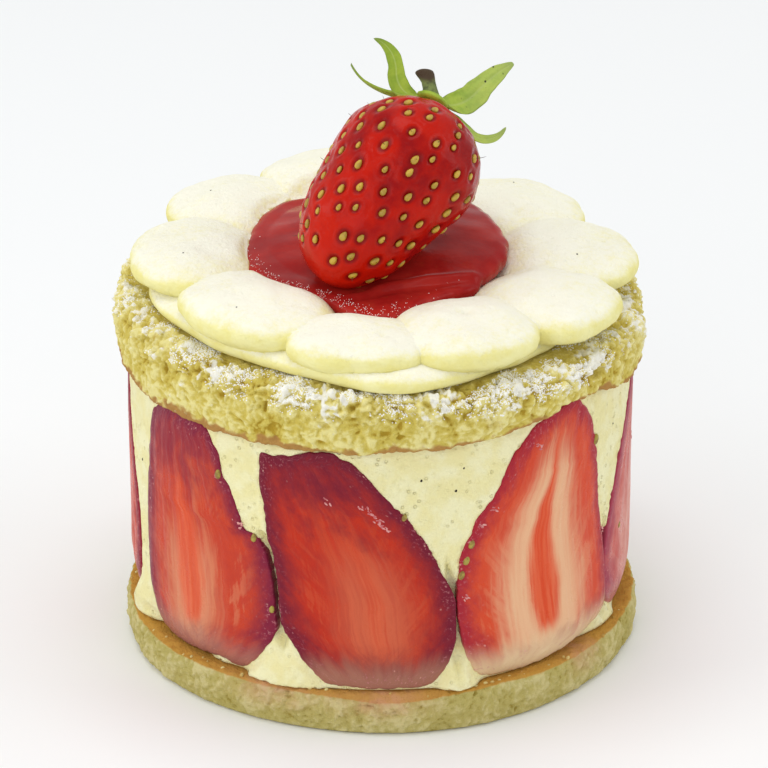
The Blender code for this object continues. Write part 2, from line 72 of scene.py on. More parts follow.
# share of the radius and of the height for the corners of the side
BASE_PROFILE = (
    (0.978, 0.0), (0.992, 0.06), (1.0, 0.22), (1.005, 0.5), (1.0, 0.8), (0.985, 0.985), (0.93, 1.0),
    (0.86, 1.0),
)
BASE_RELIEF = 0.00036
BASE_COLUMNS = 900
BASE_ROWS = 42
JUICE_ANGLES = ((-24.0, 9.0), (0.0, 9.0), (52.0, 5.0))  # where juice has run down: middle and half spread
# where the edge sags: middle, half spread, drop
LEDGE_SAGS = ((2.0, 10.0, 0.0007), (-60.0, 12.0, 0.0003), (26.0, 10.0, -0.0003))
DEGREE = math.pi / 180
TURN = 2 * math.pi
CELL_MIX = np.array((73856093, 19349663, 83492791))
CELL_TABLE = 4096
UNIT_WAYS = np.random.default_rng(5).normal(size=(CELL_TABLE, 3))
UNIT_WAYS /= np.linalg.norm(UNIT_WAYS, axis=1)[:, None]
UNIT_PLACES = np.random.default_rng(6).random((CELL_TABLE, 3))


def cell_rows(cells):
    """The row of the random tables that belongs to each cell of space."""
    return np.bitwise_xor.reduce(cells * CELL_MIX, axis=-1) % CELL_TABLE


def lumps(points, size, shift=0.0):
    """Smooth random relief from about -1 to 1, with lumps of a given size in metres."""
    scaled = np.asarray(points) / size + shift
    cells = np.floor(scaled).astype(np.int64)
    inside = scaled - cells
    fade = inside**3 * (inside * (inside * 6 - 15) + 10)
    total = np.zeros(scaled.shape[:-1])
    for corner in itertools.product((0, 1), repeat=3):
        corner = np.array(corner)
        way = UNIT_WAYS[cell_rows(cells + corner)]
        weight = np.prod(np.where(corner == 1, fade, 1 - fade), axis=-1)
        total += weight * ((inside - corner) * way).sum(-1)
    return total * 1.8


def granules(points, size, shift=0.0):
    """Distance to the nearest of many scattered middles, in units of their spacing."""
    scaled = np.asarray(points) / size + shift
    cells = np.floor(scaled).astype(np.int64)
    nearest = np.full(scaled.shape[:-1], 9.0)
    for corner in itertools.product((-1, 0, 1), repeat=3):
        there = cells + np.array(corner)
        middle = there + UNIT_PLACES[cell_rows(there)]
        nearest = np.minimum(nearest, ((scaled - middle) ** 2).sum(-1))
    return np.sqrt(nearest)


def full_turn(count):
    """Angles in radians, in equal steps round the cake."""
    return np.arange(count) * TURN / count


def around(angle, radius, height):
    """The point at an angle in radians, a radius and a height on the cake."""
    angle, radius, height = np.broadcast_arrays(angle, radius, height)
    return np.stack((radius * np.sin(angle), -radius * np.cos(angle), height), -1)


def bump(angle, centre, spread):
    """A smooth bump of height 1 round an angle in radians; centre and half spread are in degrees."""
    away = (np.degrees(angle) - centre + 180) % 360 - 180
    return np.exp(-((away / spread) ** 2))


def smooth_step(low, high, value):
    """0 below low, 1 above high, and a smooth rise between them."""
    share = np.clip((value - low) / (high - low), 0, 1)
    return share * share * (3 - 2 * share)


def smooth_through(corners, count, closed=False):
    """Points evenly spaced along a smooth line through the corners."""
    corners = np.array(corners, float)
    if closed:
        padded = np.vstack((corners[-1:], corners, corners[:2]))
    else:
        padded = np.vstack((2 * corners[:1] - corners[1:2], corners, 2 * corners[-1:] - corners[-2:-1]))
    line = []
    for before, here, there, after in zip(padded, padded[1:], padded[2:], padded[3:]):
        for share in np.arange(24) / 24:
            line.append(
                here
                + share * (there - before) / 2
                + share**2 * (2 * before - 5 * here + 4 * there - after) / 2
                + share**3 * (3 * here - before - 3 * there + after) / 2
            )
    line.append(padded[-2] if not closed else corners[0])
    line = np.array(line)
    steps = np.linalg.norm(np.diff(line, axis=0), axis=1)
    reach = np.concatenate(((0,), np.cumsum(steps)))
    wanted = np.linspace(0, reach[-1], count + 1 if closed else count)
    if closed:
        wanted = wanted[:-1]
    return np.stack([np.interp(wanted, reach, line[:, i]) for i in range(line.shape[1])], -1)


def closed_skin(name, first, rings, last, material, **tones):
    """One closed surface over rings of equally many points, with a point that closes each end.

    A tone is a value or a triple for each point of the rings, which a material reads by its name.
    """
    rows, columns = rings.shape[:2]
    points = np.vstack((np.reshape(first, (1, 3)), rings.reshape(-1, 3), np.reshape(last, (1, 3))))
    here = np.arange(columns)
    there = np.roll(here, -1)
    low = (1 + np.arange(rows - 1)[:, None] * columns + here).ravel()
    low_next = (1 + np.arange(rows - 1)[:, None] * columns + there).ravel()
    quads = np.stack((low, low_next, low_next + columns, low + columns), -1)
    top = 1 + (rows - 1) * columns
    start = np.stack((np.zeros(columns, int), 1 + there, 1 + here), -1)
    end = np.stack((np.full(columns, len(points) - 1), top + here, top + there), -1)
    around_end = np.cross(points[end[:, 1]] - points[end[:, 0]], points[end[:, 2]] - points[end[:, 0]])
    volume = (points[quads[:, 0]] * np.cross(points[quads[:, 1]], points[quads[:, 2]])).sum()
    volume += (points[quads[:, 0]] * np.cross(points[quads[:, 2]], points[quads[:, 3]])).sum()
    volume += (points[end[:, 0]] * around_end).sum()
    volume += (points[start[:, 0]] * np.cross(points[start[:, 1]], points[start[:, 2]])).sum()
    faces = start.tolist() + quads.tolist() + end.tolist()
    if volume < 0:
        faces = [face[::-1] for face in faces]
    mesh = bpy.data.meshes.new(name)
    mesh.from_pydata(points.tolist(), [], faces)
    for tone, values in tones.items():
        values = np.asarray(values, float)
        size = values.shape[2] if values.ndim == 3 else 1
        flat = values.reshape(rows * columns, size)
        flat = np.vstack((flat[:columns].mean(0), flat, flat[-columns:].mean(0)))
        kind, field = ("FLOAT_VECTOR", "vector") if size == 3 else ("FLOAT", "value")
        mesh.attributes.new(tone, kind, "POINT").data.foreach_set(field, flat.ravel())
    mesh.materials.append(material)
    mesh.shade_smooth()
    mesh.update()
    piece = bpy.data.objects.new(name, mesh)
    scene.collection.objects.link(piece)
    return piece


class Wire:
    """An output of a node. A sum on wires and numbers is written as a sum, and each becomes a Math node."""

    def __init__(self, socket):
        self.socket = socket
        self.tree = socket.id_data

    def __add__(self, other):
        return sum_of("ADD", self, other)

    def __sub__(self, other):
        return sum_of("SUBTRACT", self, other)

    def __rsub__(self, other):
        return sum_of("SUBTRACT", other, self)

    def __mul__(self, other):
        return sum_of("MULTIPLY", self, other)

    def __abs__(self):
        return sum_of("ABSOLUTE", self)


def plug(socket, value):
    """Links a wire to an input, or sets the input to a number or colour."""
    if isinstance(value, Wire):
        value.tree.links.new(value.socket, socket)
    elif socket.type == "RGBA":
        socket.default_value = (*value, 1.0)
    else:
        socket.default_value = value


def tree_of(*values):
    """The tree of the first wire among some values."""
    return next(value.tree for value in values if isinstance(value, Wire))


def wired(tree, kind, output=0, settings=(), sockets=(), **values):
    """A wire from a new node with its settings. Its inputs go by name, or by number in sockets."""
    made = tree.nodes.new(kind)
    for key, value in dict(settings).items():
        setattr(made, key, value)
    for key, value in dict(sockets).items():
        plug(made.inputs[key], value)
    for key, value in values.items():
        plug(made.inputs[key.replace("_", " ")], value)
    return Wire(made.outputs[output])


def sum_of(operation, first, second=0.0):
    """The result of one sum on two numbers."""
    return wired(tree_of(first, second), "ShaderNodeMath", 0, {"operation": operation}, {0: first, 1: second})


def mixed(share, first, second):
    """The mix of two colours."""
    sockets = {0: share, 6: first, 7: second}
    return wired(tree_of(share, first), "ShaderNodeMix", 2, {"data_type": "RGBA"}, sockets)


def between(share, first, second):
    """The mix of two numbers."""
    return wired(share.tree, "ShaderNodeMix", 0, {"data_type": "FLOAT"}, {0: share, 2: first, 3: second})


def swayed(value, cloud, amount):
    """A value made uneven by a cloud of noise."""
    return value + (cloud - 0.5) * amount


def graded(value, low, high, start=0.0, end=1.0):
    """A value brought from one range to another, smoothly and held at the ends."""
    return wired(
        value.tree, "ShaderNodeMapRange", 0, {"interpolation_type": "SMOOTHSTEP"}, Value=value,
        From_Min=low, From_Max=high, To_Min=start, To_Max=end,
    )


def spot(x, y, z):
    """A place from three numbers."""
    return wired(tree_of(x, y, z), "ShaderNodeCombineXYZ", X=x, Y=y, Z=z)


def parts_of(place):
    """The three numbers of a place."""
    x = wired(place.tree, "ShaderNodeSeparateXYZ", Vector=place)
    return [Wire(output) for output in x.socket.node.outputs]


def speckle(place, size, detail=3.0, roughness=0.55):
    """Cloudy noise with clouds of a given size in metres."""
    sizes = {"Scale": 1 / size, "Detail": detail, "Roughness": roughness}
    return wired(place.tree, "ShaderNodeTexNoise", "Fac", Vector=place, **sizes)


def mottled(place, size, detail, low, high, first, second):
    """Two colours that change over in clouds of a given size in metres."""
    return mixed(graded(speckle(place, size, detail), low, high), first, second)


def grains_of(place, size):
    """Distance to the middle of the nearest grain."""
    return wired(place.tree, "ShaderNodeTexVoronoi", "Distance", Vector=place, Scale=1 / size)


def new_finish(name, roughness, specular):
    """A material, its shader, and the place on the piece in metres, from which its pattern is made."""
    material = bpy.data.materials.new(name)
    material.use_nodes = True
    shader = material.node_tree.nodes["Principled BSDF"]
    shader.inputs["Roughness"].default_value = roughness
    shader.inputs["Specular IOR Level"].default_value = specular
    return material, shader, wired(material.node_tree, "ShaderNodeTexCoord", "Object")


def coloured(shader, colour, height=None, depth=0.0):
    """Gives a finish its colour and its fine relief, with a depth in metres."""
    plug(shader.inputs["Base Color"], colour)
    if height is not None:
        normal = wired(height.tree, "ShaderNodeBump", Height=height, Distance=depth, Strength=1.0)
        plug(shader.inputs["Normal"], normal)


def tone_of(shader, name, output="Vector"):
    """What a mesh holds for its material under a name."""
    return wired(shader.id_data, "ShaderNodeAttribute", output, {"attribute_name": name})


def node_group(name, inputs, outputs, kind="ShaderNodeTree"):
    """An empty group of nodes, the wires from its inputs, and its outputs by name."""
    group = bpy.data.node_groups.new(name, kind)
    for way, sockets in (("INPUT", inputs), ("OUTPUT", outputs)):
        for sort, names in sockets:
            for socket in names.split(", "):
                group.interface.new_socket(socket, in_out=way, socket_type="NodeSocket" + sort)
    given = [Wire(socket) for socket in group.nodes.new("NodeGroupInput").outputs if socket.name]
    return group, given, group.nodes.new("NodeGroupOutput").inputs


def place_group(shader, group, *values):
    """The group set in a material with a value for each input in turn, and the wires from it by name."""
    made = shader.id_data.nodes.new("ShaderNodeGroup")
    made.node_tree = group
    for socket, value in zip(made.inputs, values):
        plug(socket, value)
    return {output.name: Wire(output) for output in made.outputs}


# open crumb: colour by how far it stands out, with painted shade in the hollows and pores and painted light
# on the lumps; browned skin, juice and sugar, and fine pores
crumb_with_painted_shade, (place, standing, skin, juice, sugar, light, middle, deep, brown), made = node_group(
    "open crumb",
    (
        ("Vector", "Place"), ("Float", "Standing Out, Skin, Juice, Sugar"),
        ("Color", "Light, Middle, Deep, Brown"),
    ),
    (("Color", "Color"), ("Float", "Height")),
)
pore = grains_of(place, 0.00036)
# painted shade and light: how far the crumb stands out takes it from the deep colour in its hollows and pores
# to the light colour on its lumps
shade_by_relief = swayed(standing, speckle(place, 0.0010, 6.0, 0.75), 1.1) - pore * 0.10
colour = mixed(graded(shade_by_relief, 0.02, 0.34), deep, middle)
colour = mixed(graded(shade_by_relief, 0.36, 0.80), colour, light)
patches = speckle(place, 0.0022, 4.0)
colour = mixed(graded(swayed(skin, patches, 1.0), 0.25, 0.8), colour, brown)
colour = mixed(juice * graded(patches, 0.35, 0.65, 0.35, 1.0), colour, (0.62, 0.30, 0.20))
settled = swayed(swayed(sugar, speckle(place, 0.0006, 6.0, 0.85), 1.9), standing, 0.9)
colour = mixed(graded(settled, 0.54, 1.02, 0.0, 0.85), colour, (0.96, 0.95, 0.90))
plug(made["Color"], colour)
plug(made["Height"], speckle(place, 0.0004, 4.0, 0.7) - pore * 0.5)


def sponge_finish(name, *colours):
    """Soft open crumb, from the painted light of its lumps, its middle colour, the painted shade of its
    hollows and the brown of its skin.
    """
    material, shader, place = new_finish(name, roughness=0.9, specular=0.06)
    sugar = tone_of(shader, "sugar", "Fac")
    crumb = place_group(shader, crumb_with_painted_shade, place, *parts_of(tone_of(shader, "crumb")), sugar, *colours)
    coloured(shader, crumb["Color"], crumb["Height"], 0.0002)
    return material


def billows(points, size, shift=0.0):
    """Rounded lumps with creases between them, from about -0.5 to 1."""
    return 1.8 * np.abs(lumps(points, size, shift)) - 0.5


def torn_crumb(points, coarse, medium, fine, hollow):
    """Relief of torn sponge: soft crumbs of several sizes that cling together, with a few crooked holes."""
    bent = points + 0.0006 * np.stack([lumps(points, 0.0019, shift) for shift in (1.0, 5.0, 9.0)], -1)
    height = coarse * lumps(bent, 0.0046)
    height += medium * (0.6 * billows(bent, 0.0023, 2.0) + 0.5 * lumps(bent, 0.0013, 3.0))
    height += fine * (0.7 * billows(bent, 0.0011, 4.0) + 0.8 * lumps(bent, 0.0006, 6.0))
    return height - hollow * smooth_step(0.42, 0.80, lumps(bent, 0.0014, 7.3))


def stood_out(rings, height):
    """The rings moved along their own normals by a height for each point."""
    along = np.roll(rings, -1, axis=1) - np.roll(rings, 1, axis=1)
    up = np.gradient(rings, axis=0)
    way = np.cross(along, up)
    way /= np.linalg.norm(way, axis=-1)[..., None] + 1e-12
    return rings + way * height[..., None]


angles = full_turn(BASE_COLUMNS)
outline = 1 + 0.006 * np.sin(2 * angles + 1.1) + 0.004 * np.sin(5 * angles)
profile = smooth_through([(BASE_RADIUS * r, BASE_HEIGHT * z) for r, z in BASE_PROFILE], BASE_ROWS)
rings = around(angles[None], profile[:, :1] * outline, profile[:, 1:])
share = profile[:, :1] / BASE_RADIUS
level = profile[:, 1:] / BASE_HEIGHT
on_side = 1 - (1 - smooth_step(0.94, 0.985, share)) * smooth_step(0.7, 0.95, level)
crumb_relief = torn_crumb(rings, coarse=0.7, medium=0.6, fine=0.6, hollow=0.6)
rough = BASE_RELIEF * (0.25 + 0.75 * on_side) * smooth_step(0.0, 0.12, level)
rings = stood_out(rings, rough * crumb_relief)
sag = sum(drop * bump(angles, middle, spread) for middle, spread, drop in LEDGE_SAGS)
rings[..., 2] -= sag * smooth_step(0.965, 0.99, share) * smooth_step(0.4, 1.0, level)
rings[..., 2] = np.clip(rings[..., 2], 0.0, BASE_HEIGHT + 0.0004)
rings[0, :, 2] = 0.0
ledge = smooth_step(0.9, 0.985, level) + 0 * angles
juice = sum(bump(angles, middle, spread) for middle, spread in JUICE_ANGLES)
juice = juice * smooth_step(0.2, 1.0, level) * 0.6
# the first tone, the crumb's relief, sets painted shade in its hollows and painted light on its lumps: the
# first colour is the painted light and the third the painted shade
tone = np.stack((0.55 + 0.4 * crumb_relief, 0.95 * ledge, juice), -1)
sponge_below = sponge_finish(
    "lower sponge", (0.64, 0.56, 0.26), (0.50, 0.425, 0.140), (0.35, 0.27, 0.055), (0.54, 0.285, 0.055)
)
base = closed_skin(
    "lower_sponge", (0, 0, 0), rings, (0, 0, BASE_HEIGHT), sponge_below, crumb=tone, sugar=0 * crumb_relief
)
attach(base, "root")
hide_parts("base_sponge")

# Halved strawberries
# Strawberries cut in half from stalk to tip, stood on the sponge on their stalk ends, with the wet cut faces
# pressed to the ring. Pale veins run up each face from the stalk end and spread towards the skin.
RING_RADIUS = 0.0350  # inside of the ring that the cake is set in
SLICE_DEPTH = 0.0085
FOOT_HEIGHT = 0.0140  # below this height the cut faces draw in
FACE_RECESS = 0.0016
FACE_COLUMNS = 340
FACE_ROWS = 40
BACK_ROWS = 16
# Three faces show whole. Their outlines: angle round the cake in degrees, height in millimetres.
WIDE_LEFT = (
    (-62.6, 39.0), (-58.0, 41.6), (-53.8, 42.0), (-49.0, 41.7), (-45.3, 42.0), (-42.2, 41.4),
    (-40.1, 39.5), (-38.2, 37.8), (-37.7, 35.7), (-35.5, 33.7), (-34.2, 31.8), (-32.9, 29.9),
    (-31.6, 28.0), (-28.6, 27.6), (-26.4, 25.5), (-25.0, 22.2), (-24.3, 19.2), (-24.1, 16.5),
    (-23.8, 13.9), (-25.8, 11.4), (-29.0, 8.8), (-32.9, 6.6), (-36.3, 6.3), (-39.6, 6.8), (-46.8, 6.2),
    (-53.7, 6.1), (-59.5, 6.3), (-63.3, 7.6), (-64.9, 11.2), (-66.0, 14.5), (-66.5, 21.5), (-66.0, 26.6),
    (-64.9, 31.9), (-63.9, 36.3),
)
FRONT = (
    (-27.2, 39.5), (-24.1, 39.9), (-20.1, 40.3), (-17.6, 41.0), (-13.8, 41.6), (-10.9, 41.3),
    (-9.1, 40.9), (-6.8, 40.4), (-4.8, 39.4), (-0.8, 36.7), (2.6, 34.0), (5.7, 32.2), (7.8, 30.3),
    (11.6, 26.5), (13.3, 23.9), (15.2, 21.6), (16.5, 20.0), (17.0, 17.1), (17.0, 14.1), (16.5, 11.7),
    (14.8, 9.1), (12.2, 6.9), (8.7, 6.4), (5.7, 6.3), (0.1, 6.2), (-6.3, 6.4), (-11.6, 6.7), (-14.6, 8.0),
    (-17.8, 10.2), (-20.6, 12.9), (-22.4, 14.8), (-23.1, 18.5), (-23.5, 21.9), (-24.4, 25.3),
    (-25.8, 28.2), (-26.5, 32.9), (-27.5, 35.4),
)
POINTED_RIGHT = (
    (49.3, 44.1), (53.5, 41.3), (55.2, 39.6), (57.3, 33.7), (58.7, 26.0), (61.1, 19.8), (62.5, 14.5),
    (63.1, 9.3), (57.5, 7.8), (50.8, 7.0), (43.0, 6.4), (35.8, 6.2), (28.9, 6.2), (24.4, 6.6),
    (21.2, 8.4), (18.9, 11.8), (17.6, 16.0), (17.2, 20.0), (17.6, 23.7), (18.2, 26.2), (20.4, 28.8),
    (22.1, 31.2), (26.1, 33.9), (28.5, 36.8), (30.9, 39.4), (33.4, 40.8), (36.0, 42.2), (40.1, 43.4),
    (43.0, 44.1),
)
# the others: angle, height of the middle, length, width, lean, narrowing to the tip, fullness
OVALS = {
    1: (-94.6, 0.0238, 0.0348, 0.0248, 9.0, 0.22, 0.84),
    5: (86.0, 0.0238, 0.0350, 0.0264, -7.0, 0.36, 0.84),
    6: (130.2, 0.0240, 0.0352, 0.0248, 6.0, 0.30, 0.80),
    7: (176.2, 0.0236, 0.0346, 0.0250, -9.0, 0.28, 0.86),
    8: (219.6, 0.0240, 0.0350, 0.0248, 7.0, 0.32, 0.80),
}


def oval_outline(angle, height, length, width, lean, taper, fullness):
    """The outline of a halved strawberry as angles in degrees and heights in millimetres."""
    step = full_turn(24)
    along = -np.cos(step)
    swell = np.sign(np.sin(step)) * np.abs(np.sin(step)) ** fullness
    across = width / 2 * swell * (1 - taper * along)
    aside = across - length / 2 * along * math.tan(lean * DEGREE)
    return np.stack((angle + aside / RING_RADIUS / DEGREE, 1000 * (height + length / 2 * along)), -1)


def polar_outline(outline):
    """The middle of an outline, on the ring laid flat, and its radius for each way from there."""
    flat = np.array(outline) * (DEGREE * RING_RADIUS, 0.001)
    line = smooth_through(flat, 720, closed=True)
    middle = (line.min(0) + line.max(0)) / 2
    way = np.arctan2(line[:, 1] - middle[1], line[:, 0] - middle[0])
    reach = np.linalg.norm(line - middle, axis=1)
    order = np.argsort(way)
    return middle, way[order], reach[order]


def outline_reach(shape, way):
    """How far an outline reaches from its middle in each way."""
    return np.interp(way, shape[1], shape[2], period=TURN)


def face_radius(height, recess=FACE_RECESS):
    """Radius of the cut faces: they follow the ring and draw in towards the foot."""
    drawn = np.clip(1 - (height - BASE_HEIGHT) / (FOOT_HEIGHT - BASE_HEIGHT), 0, None)
    return RING_RADIUS + 0.0003 - recess * drawn**2


shapes = {number: polar_outline(oval_outline(*row)) for number, row in OVALS.items()}
shapes[2] = polar_outline(WIDE_LEFT)
shapes[3] = polar_outline(FRONT)
shapes[4] = polar_outline(POINTED_RIGHT)
FOOT_RECESS = {2: 0.0012, 3: 0.0004, 4: 0.0009}  # how far faces draw in at the foot, where not as usual

# cut flesh: streaks up the middle, slanting veins at the sides, core, dark skin side and white stalk end
cut_flesh, given, made = node_group(
    "cut flesh",
    (
        ("Float", "Across, Run, Rim, Kind"), ("Color", "Flesh, Vein, Core, Skin, Stalk End"),
        ("Float", "Vein Strength, Core Place, Core Width, Band Width, Core Reach, Core Strength, Rim Depth"),
        ("Float", "Stalk Strength, Tip Dark"),
    ),
    (("Color", "Color"), ("Float", "Height, Wet")),
)
across, run, rim, kind, red, vein, core, skin, stalk_end = given[:9]
vein_strength, core_place, core_width, band_width, core_reach = given[9:14]
core_strength, rim_depth, stalk_strength, tip_dark = given[14:]
side = abs(across)
slant = run * 10.0 - side * 4.0
streak = speckle(spot(across * 5.0, run * 1.4, kind), 1.0, 3.0)
thread = speckle(spot(across * 24.0, run * 3.5, kind), 1.0, 2.0)
fine_barb = speckle(spot(slant * 3.6, across * 3.0, kind), 1.0, 2.0)
barb = speckle(spot(slant, across * 1.3, kind), 1.0, 2.0) * 0.55 + fine_barb * 0.45
blotch = speckle(spot(across * 3.5, run * 9.0, kind), 1.0, 4.0, 0.65)
line = between(graded(side, 0.25, 0.6), streak, barb)
veins = graded(swayed(line, thread, 0.45), 0.46, 0.60) * vein_strength * graded(run, 0.2, 0.9, 1.0, 0.25)
veins = veins * graded(swayed(rim, blotch, 0.3), 0.55, 0.95, 1.0, 0.0) * graded(side, 0.2, 0.6, 1.0, 0.6)
flesh = mixed(graded(blotch, 0.3, 0.7, 0.0, 0.35), red, mixed(0.5, red, skin))
flesh = mixed(veins, flesh, vein)
# pale band round the core, then its red heart
off_core = abs(across - core_place)
band = (core_width + band_width) * graded(run, 0.3, 1.0, 1.0, 0.5)
off_band = swayed(swayed(off_core, streak, 0.35), thread, 0.35) - band
reach = graded(swayed(run, thread, 0.25) - core_reach, -0.16, 0.12, 1.0, 0.0) * core_strength
flesh = mixed(graded(off_band, -0.24, 0.26, 1.0, 0.0) * reach, flesh, core)
tapered = core_width * (graded(run, 0.3, 0.85, 1.0, 0.2) * graded(run, 0.06, 0.36, 0.5, 1.0))
off_heart = swayed(off_core, thread, 0.14) - tapered
heart = graded(off_heart, -0.07, 0.09, 1.0, 0.0) * graded(swayed(run, thread, 0.1), 0.09, 0.18)
heart_colour = mixed(graded(thread, 0.35, 0.65), (0.68, 0.070, 0.020), (0.74, 0.12, 0.045))
flesh = mixed(heart * core_strength, flesh, heart_colour)
# dark skin side and tip, white stalk end
edge = graded(swayed(swayed(rim, blotch, 0.30), fine_barb, 0.16), 1.0 - rim_depth, 1.0)
tip = graded(swayed(run, blotch, 0.6), 0.55, 1.0) * tip_dark
flesh = mixed(sum_of("MAXIMUM", edge, tip), flesh, skin)
foot = graded(swayed(run, streak, 0.14), 0.03, 0.17, 1.0, 0.0) * stalk_strength
flesh = mixed(foot, flesh, stalk_end)
# pale mottling near the skin
mottle = speckle(spot(across * 26.0, run * 74.0, kind), 1.0, 3.0, 0.7)
mottle = graded(mottle, 0.54, 0.66) * graded(swayed(rim, streak, 0.3), 0.78, 0.96)
flesh = mixed(mottle * graded(blotch, 0.4, 0.6, 0.05, 0.55), flesh, (0.58, 0.22, 0.24))
dots = grains_of(spot(across * 12.0, run * 34.0, kind), 1.0)
dots = graded(dots, 0.08, 0.2, 1.0, 0.0) * graded(blotch, 0.5, 0.62)
flesh = mixed(dots * graded(rim, 0.7, 0.9) * 0.6, flesh, (0.80, 0.42, 0.36))
plug(made["Color"], flesh)
plug(made["Height"], thread * 0.5 + blotch)
plug(made["Wet"], graded(blotch, 0.3, 0.7, 0.22, 0.45))

RED = (0.60, 0.050, 0.018)
# colours of flesh, vein, core, skin side and stalk end; then vein strength, core place and width, band width,
# core reach and strength, rim depth, strength of the stalk end and dark at the tip
FACES = {
    1: (
        RED, (0.66, 0.16, 0.09), (0.75, 0.38, 0.22), (0.26, 0.012, 0.03), (0.72, 0.42, 0.26),
        0.8, 0.0, 0.12, 0.3, 0.5, 0.2, 0.22, 0.5, 0.2,
    ),
    2: (
        (0.58, 0.055, 0.020), (0.68, 0.22, 0.11), (0.72, 0.32, 0.17), (0.21, 0.014, 0.042),
        (0.70, 0.38, 0.24),
        0.85, -0.12, 0.20, 0.10, 0.5, 0.85, 0.36, 0.35, 0.75,
    ),
    3: (
        (0.53, 0.032, 0.011), (0.61, 0.090, 0.036), (0.66, 0.20, 0.10), (0.17, 0.010, 0.028),
        (0.40, 0.18, 0.12),
        0.85, 0.1, 0.10, 0.30, 0.6, 0.35, 0.42, 0.85, 0.9,
    ),
    4: (
        (0.68, 0.075, 0.026), (0.76, 0.29, 0.15), (0.80, 0.47, 0.27), (0.38, 0.020, 0.036),
        (0.76, 0.57, 0.34),
        0.85, -0.01, 0.19, 0.30, 0.86, 1.0, 0.26, 0.95, 0.1,
    ),
    5: (
        (0.58, 0.11, 0.085), (0.70, 0.31, 0.25), (0.78, 0.44, 0.34), (0.34, 0.040, 0.075), (0.60, 0.26, 0.22),
        1.0, 0.0, 0.15, 0.3, 0.6, 0.4, 0.28, 0.6, 0.2,
    ),
    6: (
        RED, (0.68, 0.22, 0.12), (0.78, 0.45, 0.28), (0.30, 0.015, 0.03), (0.75, 0.55, 0.34),
        0.9, 0.1, 0.14, 0.3, 0.7, 0.7, 0.22, 0.8, 0.1,
    ),
    7: (
        (0.55, 0.040, 0.016), (0.64, 0.18, 0.08), (0.76, 0.41, 0.24), (0.26, 0.012, 0.025),
        (0.72, 0.48, 0.30),
        0.9, -0.1, 0.2, 0.2, 0.5, 0.3, 0.25, 0.6, 0.3,
    ),
    8: (
        RED, (0.70, 0.24, 0.12), (0.80, 0.47, 0.28), (0.28, 0.014, 0.03), (0.76, 0.57, 0.34),
        0.9, 0.0, 0.16, 0.3, 0.8, 0.85, 0.22, 0.9, 0.1,
    ),
}


def across_face(aside, height, edge_aside, edge_height):
    """How far points lie from the middle line of a face: 0 on it, -1 and 1 on its left and right edge."""
    top = int(edge_height.argmax())
    turned = np.roll(edge_aside, -top), np.roll(edge_height, -top)
    foot = int(turned[1].argmin())
    edges = []
    for part in (slice(0, foot + 1), slice(foot, None)):
        order = np.argsort(turned[1][part])
        edges.append(np.interp(height, turned[1][part][order], turned[0][part][order]))
    half = np.maximum(np.abs(edges[1] - edges[0]) / 2, 0.25 * np.ptp(edge_aside))
    return (aside - (edges[0] + edges[1]) / 2) / half


for number in range(1, 9):
    shape = shapes[number]
    recess = FOOT_RECESS.get(number, FACE_RECESS)
    ways = full_turn(FACE_COLUMNS)
    reach = outline_reach(shape, ways)
    knocks = np.stack((np.cos(ways) * 3 + number * 5, np.sin(ways) * 3, 0 * ways), -1)
    ragged = 1 + 1.2 * smooth_step(0.0, 0.8, np.sin(ways))
    knocked = 0.007 * lumps(knocks, 0.55) + 0.007 * lumps(knocks, 0.22)
    reach = reach * (1 + knocked * ragged + 0.008 * lumps(knocks, 0.13))
    face_shares = np.concatenate((np.linspace(0.02, 0.93, FACE_ROWS), (0.955, 0.975, 0.99)))
    behind = np.linspace(0.012, 0.985, BACK_ROWS)
    back_shares = (1 - behind**2.4) ** (1 / 2.2)
    shares = np.concatenate((face_shares, back_shares))[:, None]
    depths = np.concatenate((0 * face_shares, behind))[:, None] * SLICE_DEPTH
    aside = shape[0][0] + shares * reach * np.cos(ways)
    height = shape[0][1] + shares * reach * np.sin(ways)
    low, high = height.min(), height.max()
    edge = len(face_shares)
    across = across_face(aside, height, aside[edge], height[edge])
    run = (height - low) / (high - low)
    rim = np.where(depths > 0, 1.0, shares) + 0 * run
    stripes = np.stack((across * 7, run * 2, 0 * run + number), -1)
    soft = smooth_step(1.0, 0.9, shares)
    wet = (0.00011 * lumps(stripes, 1.0) + 0.00005 * lumps(stripes * (3, 4, 1), 1.0)) * soft
    wet -= 0.00012 * smooth_step(0.93, 1.0, np.where(depths > 0, 1.0, shares))
    radius = face_radius(height, recess) - depths + wet
    rings = around(aside / RING_RADIUS, radius, height)
    centre = around(shape[0][0] / RING_RADIUS, face_radius(shape[0][1]), shape[0][1])
    back = around(shape[0][0] / RING_RADIUS, face_radius(shape[0][1]) - SLICE_DEPTH, shape[0][1])
    material, shader, _ = new_finish(f"cut strawberry {number}", roughness=0.3, specular=0.13)
    look = place_group(shader, cut_flesh, *parts_of(tone_of(shader, "flesh")), number * 3.7, *FACES[number])
    plug(shader.inputs["Roughness"], look["Wet"])
    coloured(shader, look["Color"], look["Height"], 0.00012)
    piece = closed_skin(
        f"halved_strawberry_{number}", centre, rings, back, material, flesh=np.stack((across, run, rim), -1)
    )
    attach(piece, "root")
    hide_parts(f"strawberry_slice_{number}")

# Vanilla cream filling
# Light custard cream piped between and behind the halved strawberries and smoothed against the ring. It shows
# bubbles, dark vanilla specks, and thin edges where it is pressed out over the sponge.
FILLING_TOP = 0.0418
GAP = 0.0003
SEAM_START = 0.0250
FILLING_COLUMNS = 780
POCKET_SHARE = 0.955  # the cream reaches this far in behind the edge of a halved strawberry
FILLING_ROWS = 112
# cream pressed out at the foot: angle, half spread, height, reach
CREAM_FEET = (
    (-73.0, 8.0, 0.0125, 0.0011), (-22.0, 9.0, 0.0100, 0.0009), (17.5, 9.0, 0.0095, 0.0010),
    (64.0, 5.0, 0.0090, 0.0002), (108.0, 8.0, 0.0100, 0.0009), (152.0, 8.0, 0.0095, 0.0009),
    (197.0, 8.0, 0.0100, 0.0009), (242.0, 8.0, 0.0105, 0.0009),
)
